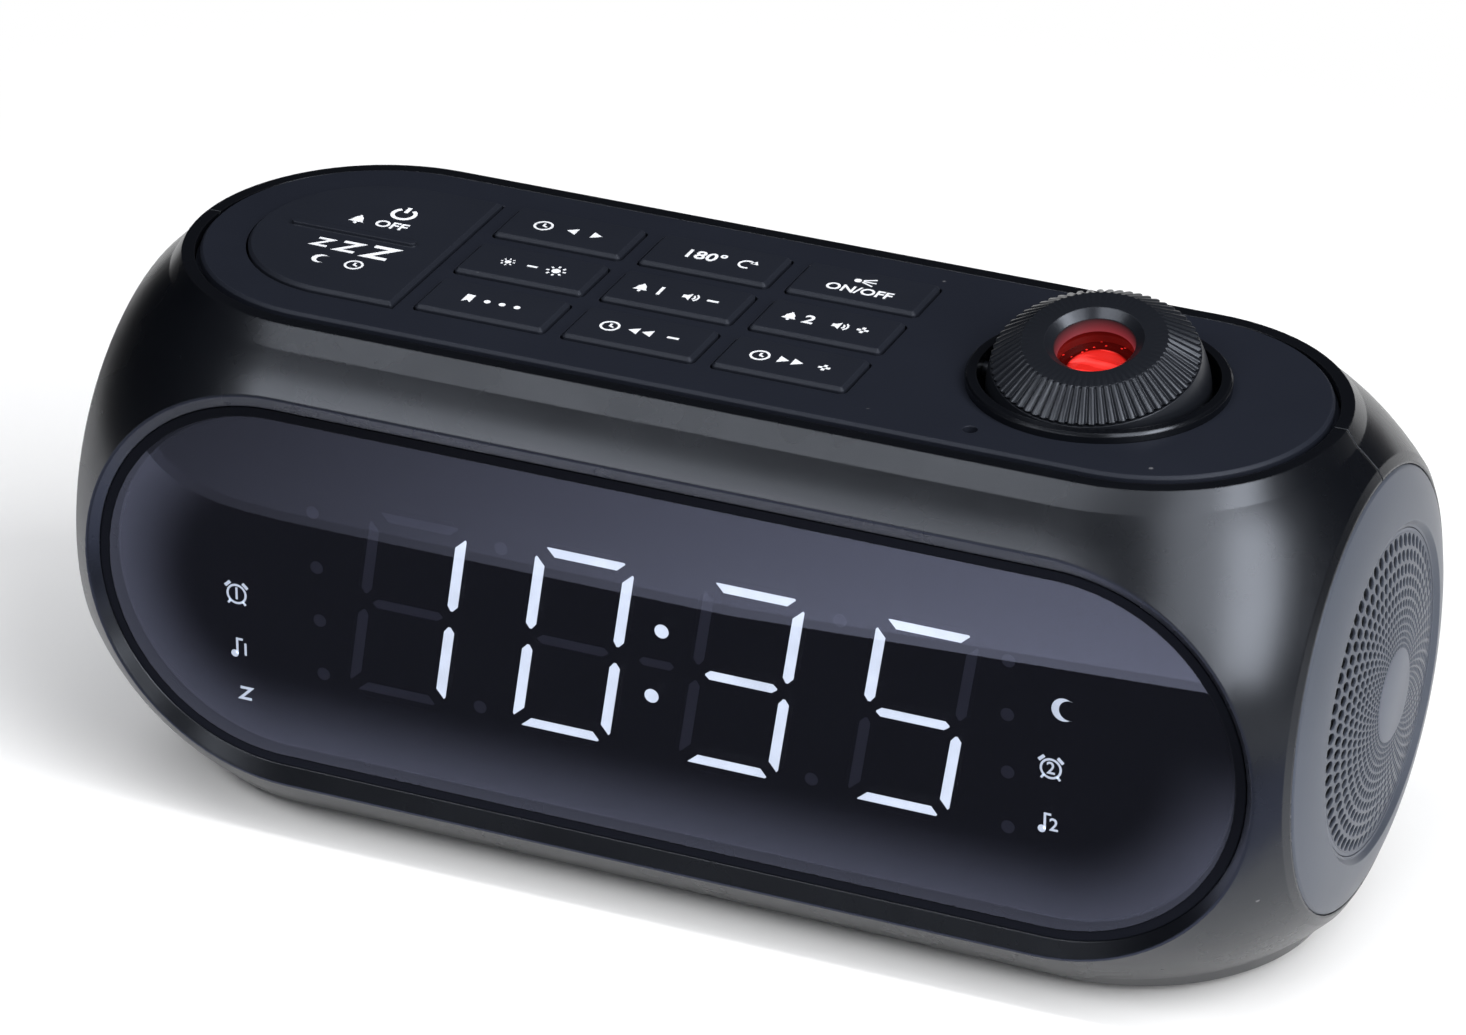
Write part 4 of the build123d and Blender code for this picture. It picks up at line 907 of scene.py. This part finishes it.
class CLOCK_OT_stage(bpy.types.Operator):
    """Lays the floor, hangs the lamps and stands the camera"""
    bl_idname = "clock.stage"
    bl_label = "Stage"

    def execute(self, context):
        scene = context.scene
        scene.view_settings.view_transform = "Standard"
        self.floor()
        self.surround(scene)
        for name, (way, reach, size, power, up) in LAMPS.items():
            data = bpy.data.lights.new(name, "AREA")
            data.shape = "RECTANGLE"
            data.size, data.size_y = size
            data.energy = power
            back = Vector(way).normalized()
            aim(put(name, data), back * reach + LAMP_CENTRE, Vector(up).cross(back), back)
        self.window_card()
        self.flag()
        data = bpy.data.cameras.new("camera")
        data.sensor_width = SENSOR_WIDTH
        data.lens = FOCAL_LENGTH
        data.clip_start = 0.01
        scene.camera = put("camera", data)
        aim(scene.camera, EYE, EYE_RIGHT, EYE_BACK)
        return {"FINISHED"}

    def floor(self):
        """Pale table that keeps its shade near the clock; far off it is the white backdrop."""
        material, tree, shader = blank("white_table", Roughness=0.9, Specular_IOR_Level=0.0)
        where = object_place(tree)
        noise = add(tree, "ShaderNodeTexNoise", where, Scale=30.0)
        feed(tree, shader, Base_Color=blend_colours(tree, noise.outputs["Fac"],
                                                    (0.93, 0.93, 0.93), (0.95, 0.95, 0.95)))
        reach = vector_maths(tree, "DISTANCE", where, (-0.03, -0.04, 0))
        start, full = 0.14, 0.29                # where the backdrop sets in, and is all there is
        off = ramp(tree, reach, start, full, interpolation="SMOOTHSTEP")
        share = maths(tree, "MULTIPLY", off, rays(tree, "Camera", "Glossy", "Transmission"))
        mix = mix_shaders(tree, share, shader, add(tree, "ShaderNodeEmission", (1, 1, 1)))
        feed(tree, tree.nodes["Material Output"], mix.outputs[0])
        far = 4                                 # metres from the clock to the floor's edge
        corners = [(-far, -far, 0), (far, -far, 0), (far, far, 0), (-far, far, 0)]
        plane = put("floor", flat_mesh("floor", corners, material))

    def surround(self, scene):
        """White for the camera and a plain grey light on the clock. Gloss and glass see white
        up to the horizon, and a dark ceiling over it."""
        world = bpy.data.worlds.new("studio")
        world.use_nodes = True
        scene.world = world
        tree = world.node_tree
        light = feed(tree, tree.nodes["Background"], (0.21, 0.215, 0.23))
        white = add(tree, "ShaderNodeBackground", (1, 1, 1))
        ceiling = add(tree, "ShaderNodeBackground", (0.02, 0.021, 0.025))
        way = add(tree, "ShaderNodeTexCoord").outputs["Generated"]
        height = add(tree, "ShaderNodeSeparateXYZ", way).outputs[2]
        shiny = mix_shaders(tree, ramp(tree, height, 0.0, -0.05), ceiling, white)
        seen = mix_shaders(tree, rays(tree, "Glossy", "Transmission"), light, shiny)
        mix = mix_shaders(tree, rays(tree, "Camera"), seen, white)
        feed(tree, tree.nodes["World Output"], mix.outputs[0])

    def window_card(self):
        """Toned card on the table before the clock, which only gloss sees: it shades the window."""
        height, near, left, right = 2 * MM, -0.42, -0.32, 0.20
        front = LENS_FRONT - 6 * MM
        half = 50.4                             # half of the window's straight part
        material, tree, shader = blank("toned_card")
        tree.nodes.remove(shader)
        calc = partial(maths, tree)
        soft = partial(ramp, tree, interpolation="SMOOTHSTEP")
        x, y, _ = add(tree, "ShaderNodeSeparateXYZ", object_place(tree)).outputs
        # u across and v up: where on the window the eye sees this point, in millimetres
        part = calc("DIVIDE", calc("SUBTRACT", LENS_FRONT, y),
                    calc("SUBTRACT", 2 * LENS_FRONT - EYE.y, y))
        across = calc("ADD", x, calc("MULTIPLY", part, calc("SUBTRACT", EYE.x, x)))
        u = calc("MULTIPLY", across, 1 / MM)
        v = calc("MULTIPLY", calc("ADD", calc("MULTIPLY", part, EYE.z - height), height - MID_Z),
                 1 / MM)
        # the sheen ends at this height: it bends up at the left and slopes up to the right
        foot, bend_at, bend_height, slope_from, steepness = 9.7, -70.0, 9.0, 10.0, 0.052
        bend = calc("POWER", calc("MAXIMUM", calc("DIVIDE", u, bend_at), 0.0), 14.0)
        slope = calc("MAXIMUM", calc("SUBTRACT", u, slope_from), 0.0)
        edge = calc("ADD", calc("MULTIPLY", bend, bend_height),
                    calc("ADD", calc("MULTIPLY", slope, steepness), foot))
        above = soft(calc("SUBTRACT", v, edge), -0.08, 0.08)
        # it gets stronger to the right, and a little weaker upwards
        sheen = calc("MULTIPLY", soft(u, -85.0, 75.0, 0.56, 3.2), soft(v, 8.0, 25.0, 1.0, 0.8))
        # under it the window is dark, and paler along its lower and left rim
        along = calc("SUBTRACT", u, calc("MINIMUM", calc("MAXIMUM", u, -half), half))
        rim = calc("SQRT", calc("ADD", calc("MULTIPLY", along, along), calc("MULTIPLY", v, v)))
        low_rim = calc("MULTIPLY", soft(rim, 12.0, 26.5),
                       calc("MAXIMUM", soft(v, 6.0, -12.0), soft(u, -44.0, -62.0)))
        least, paler = 0.19, 1.75
        dark = calc("ADD", calc("MULTIPLY", low_rim, paler), least)
        tone = calc("ADD", calc("MULTIPLY", above, sheen),
                    calc("MULTIPLY", calc("SUBTRACT", 1.0, above), dark))
        # past the window the card fades
        tone = calc("MULTIPLY", tone, soft(rim, 28.0, 34.0, 1.0, 0.5))
        shine = add(tree, "ShaderNodeEmission", (0.66, 0.71, 1.0), tone)
        feed(tree, tree.nodes["Material Output"], shine.outputs[0])
        corners = [(left, near, height), (right, near, height), (right, front, height),
                   (left, front, height)]
        self.hang_card("window_card", flat_mesh("window_card", corners, material))

    def flag(self):
        """Black card that stands on the left of the clock."""
        black = blank("flag", Base_Color=(0, 0, 0), Specular_IOR_Level=0.0)[0]
        x, near, far, top = -0.45, -0.12, 0.5, 0.3
        corners = [(x, near, 0), (x, far, 0), (x, far, top), (x, near, top)]
        self.hang_card("flag", flat_mesh("flag", corners, black))

    def hang_card(self, name, mesh):
        """A card of the stage that only gloss and glass see."""
        card = put(name, mesh)
        card.visible_camera = card.visible_diffuse = card.visible_shadow = False
        card.visible_volume_scatter = False


class CLOCK_PT_panel(bpy.types.Panel):
    """Lists the settings and the steps of the alarm clock"""
    bl_idname = "CLOCK_PT_panel"
    bl_label = "Projection Alarm Clock"
    bl_space_type = "VIEW_3D"
    bl_region_type = "UI"
    bl_category = "Alarm Clock"

    def draw(self, context):
        for settings in (context.scene.clock_colours, context.scene.clock_sizes):
            box = self.layout.box()
            for name in type(settings).__annotations__:
                box.prop(settings, name)
        for operator in OPERATORS:
            self.layout.operator(operator.bl_idname)


OPERATORS = (CLOCK_OT_stage, CLOCK_OT_housing, CLOCK_OT_keys, CLOCK_OT_display,
             CLOCK_OT_projector, CLOCK_OT_grille, CLOCK_OT_inside)
CLASSES = (CLOCK_PG_colours, CLOCK_PG_sizes, *OPERATORS, CLOCK_PT_panel)


def register():
    for cls in CLASSES:
        bpy.utils.register_class(cls)
    bpy.types.Scene.clock_colours = PointerProperty(type=CLOCK_PG_colours)
    bpy.types.Scene.clock_sizes = PointerProperty(type=CLOCK_PG_sizes)


def unregister():
    del bpy.types.Scene.clock_colours
    del bpy.types.Scene.clock_sizes
    for cls in reversed(CLASSES):
        bpy.utils.unregister_class(cls)


def main():
    register()
    for operator in OPERATORS:
        family, name = operator.bl_idname.split(".")
        getattr(getattr(bpy.ops, family), name)()


if __name__ == "__main__":
    main()
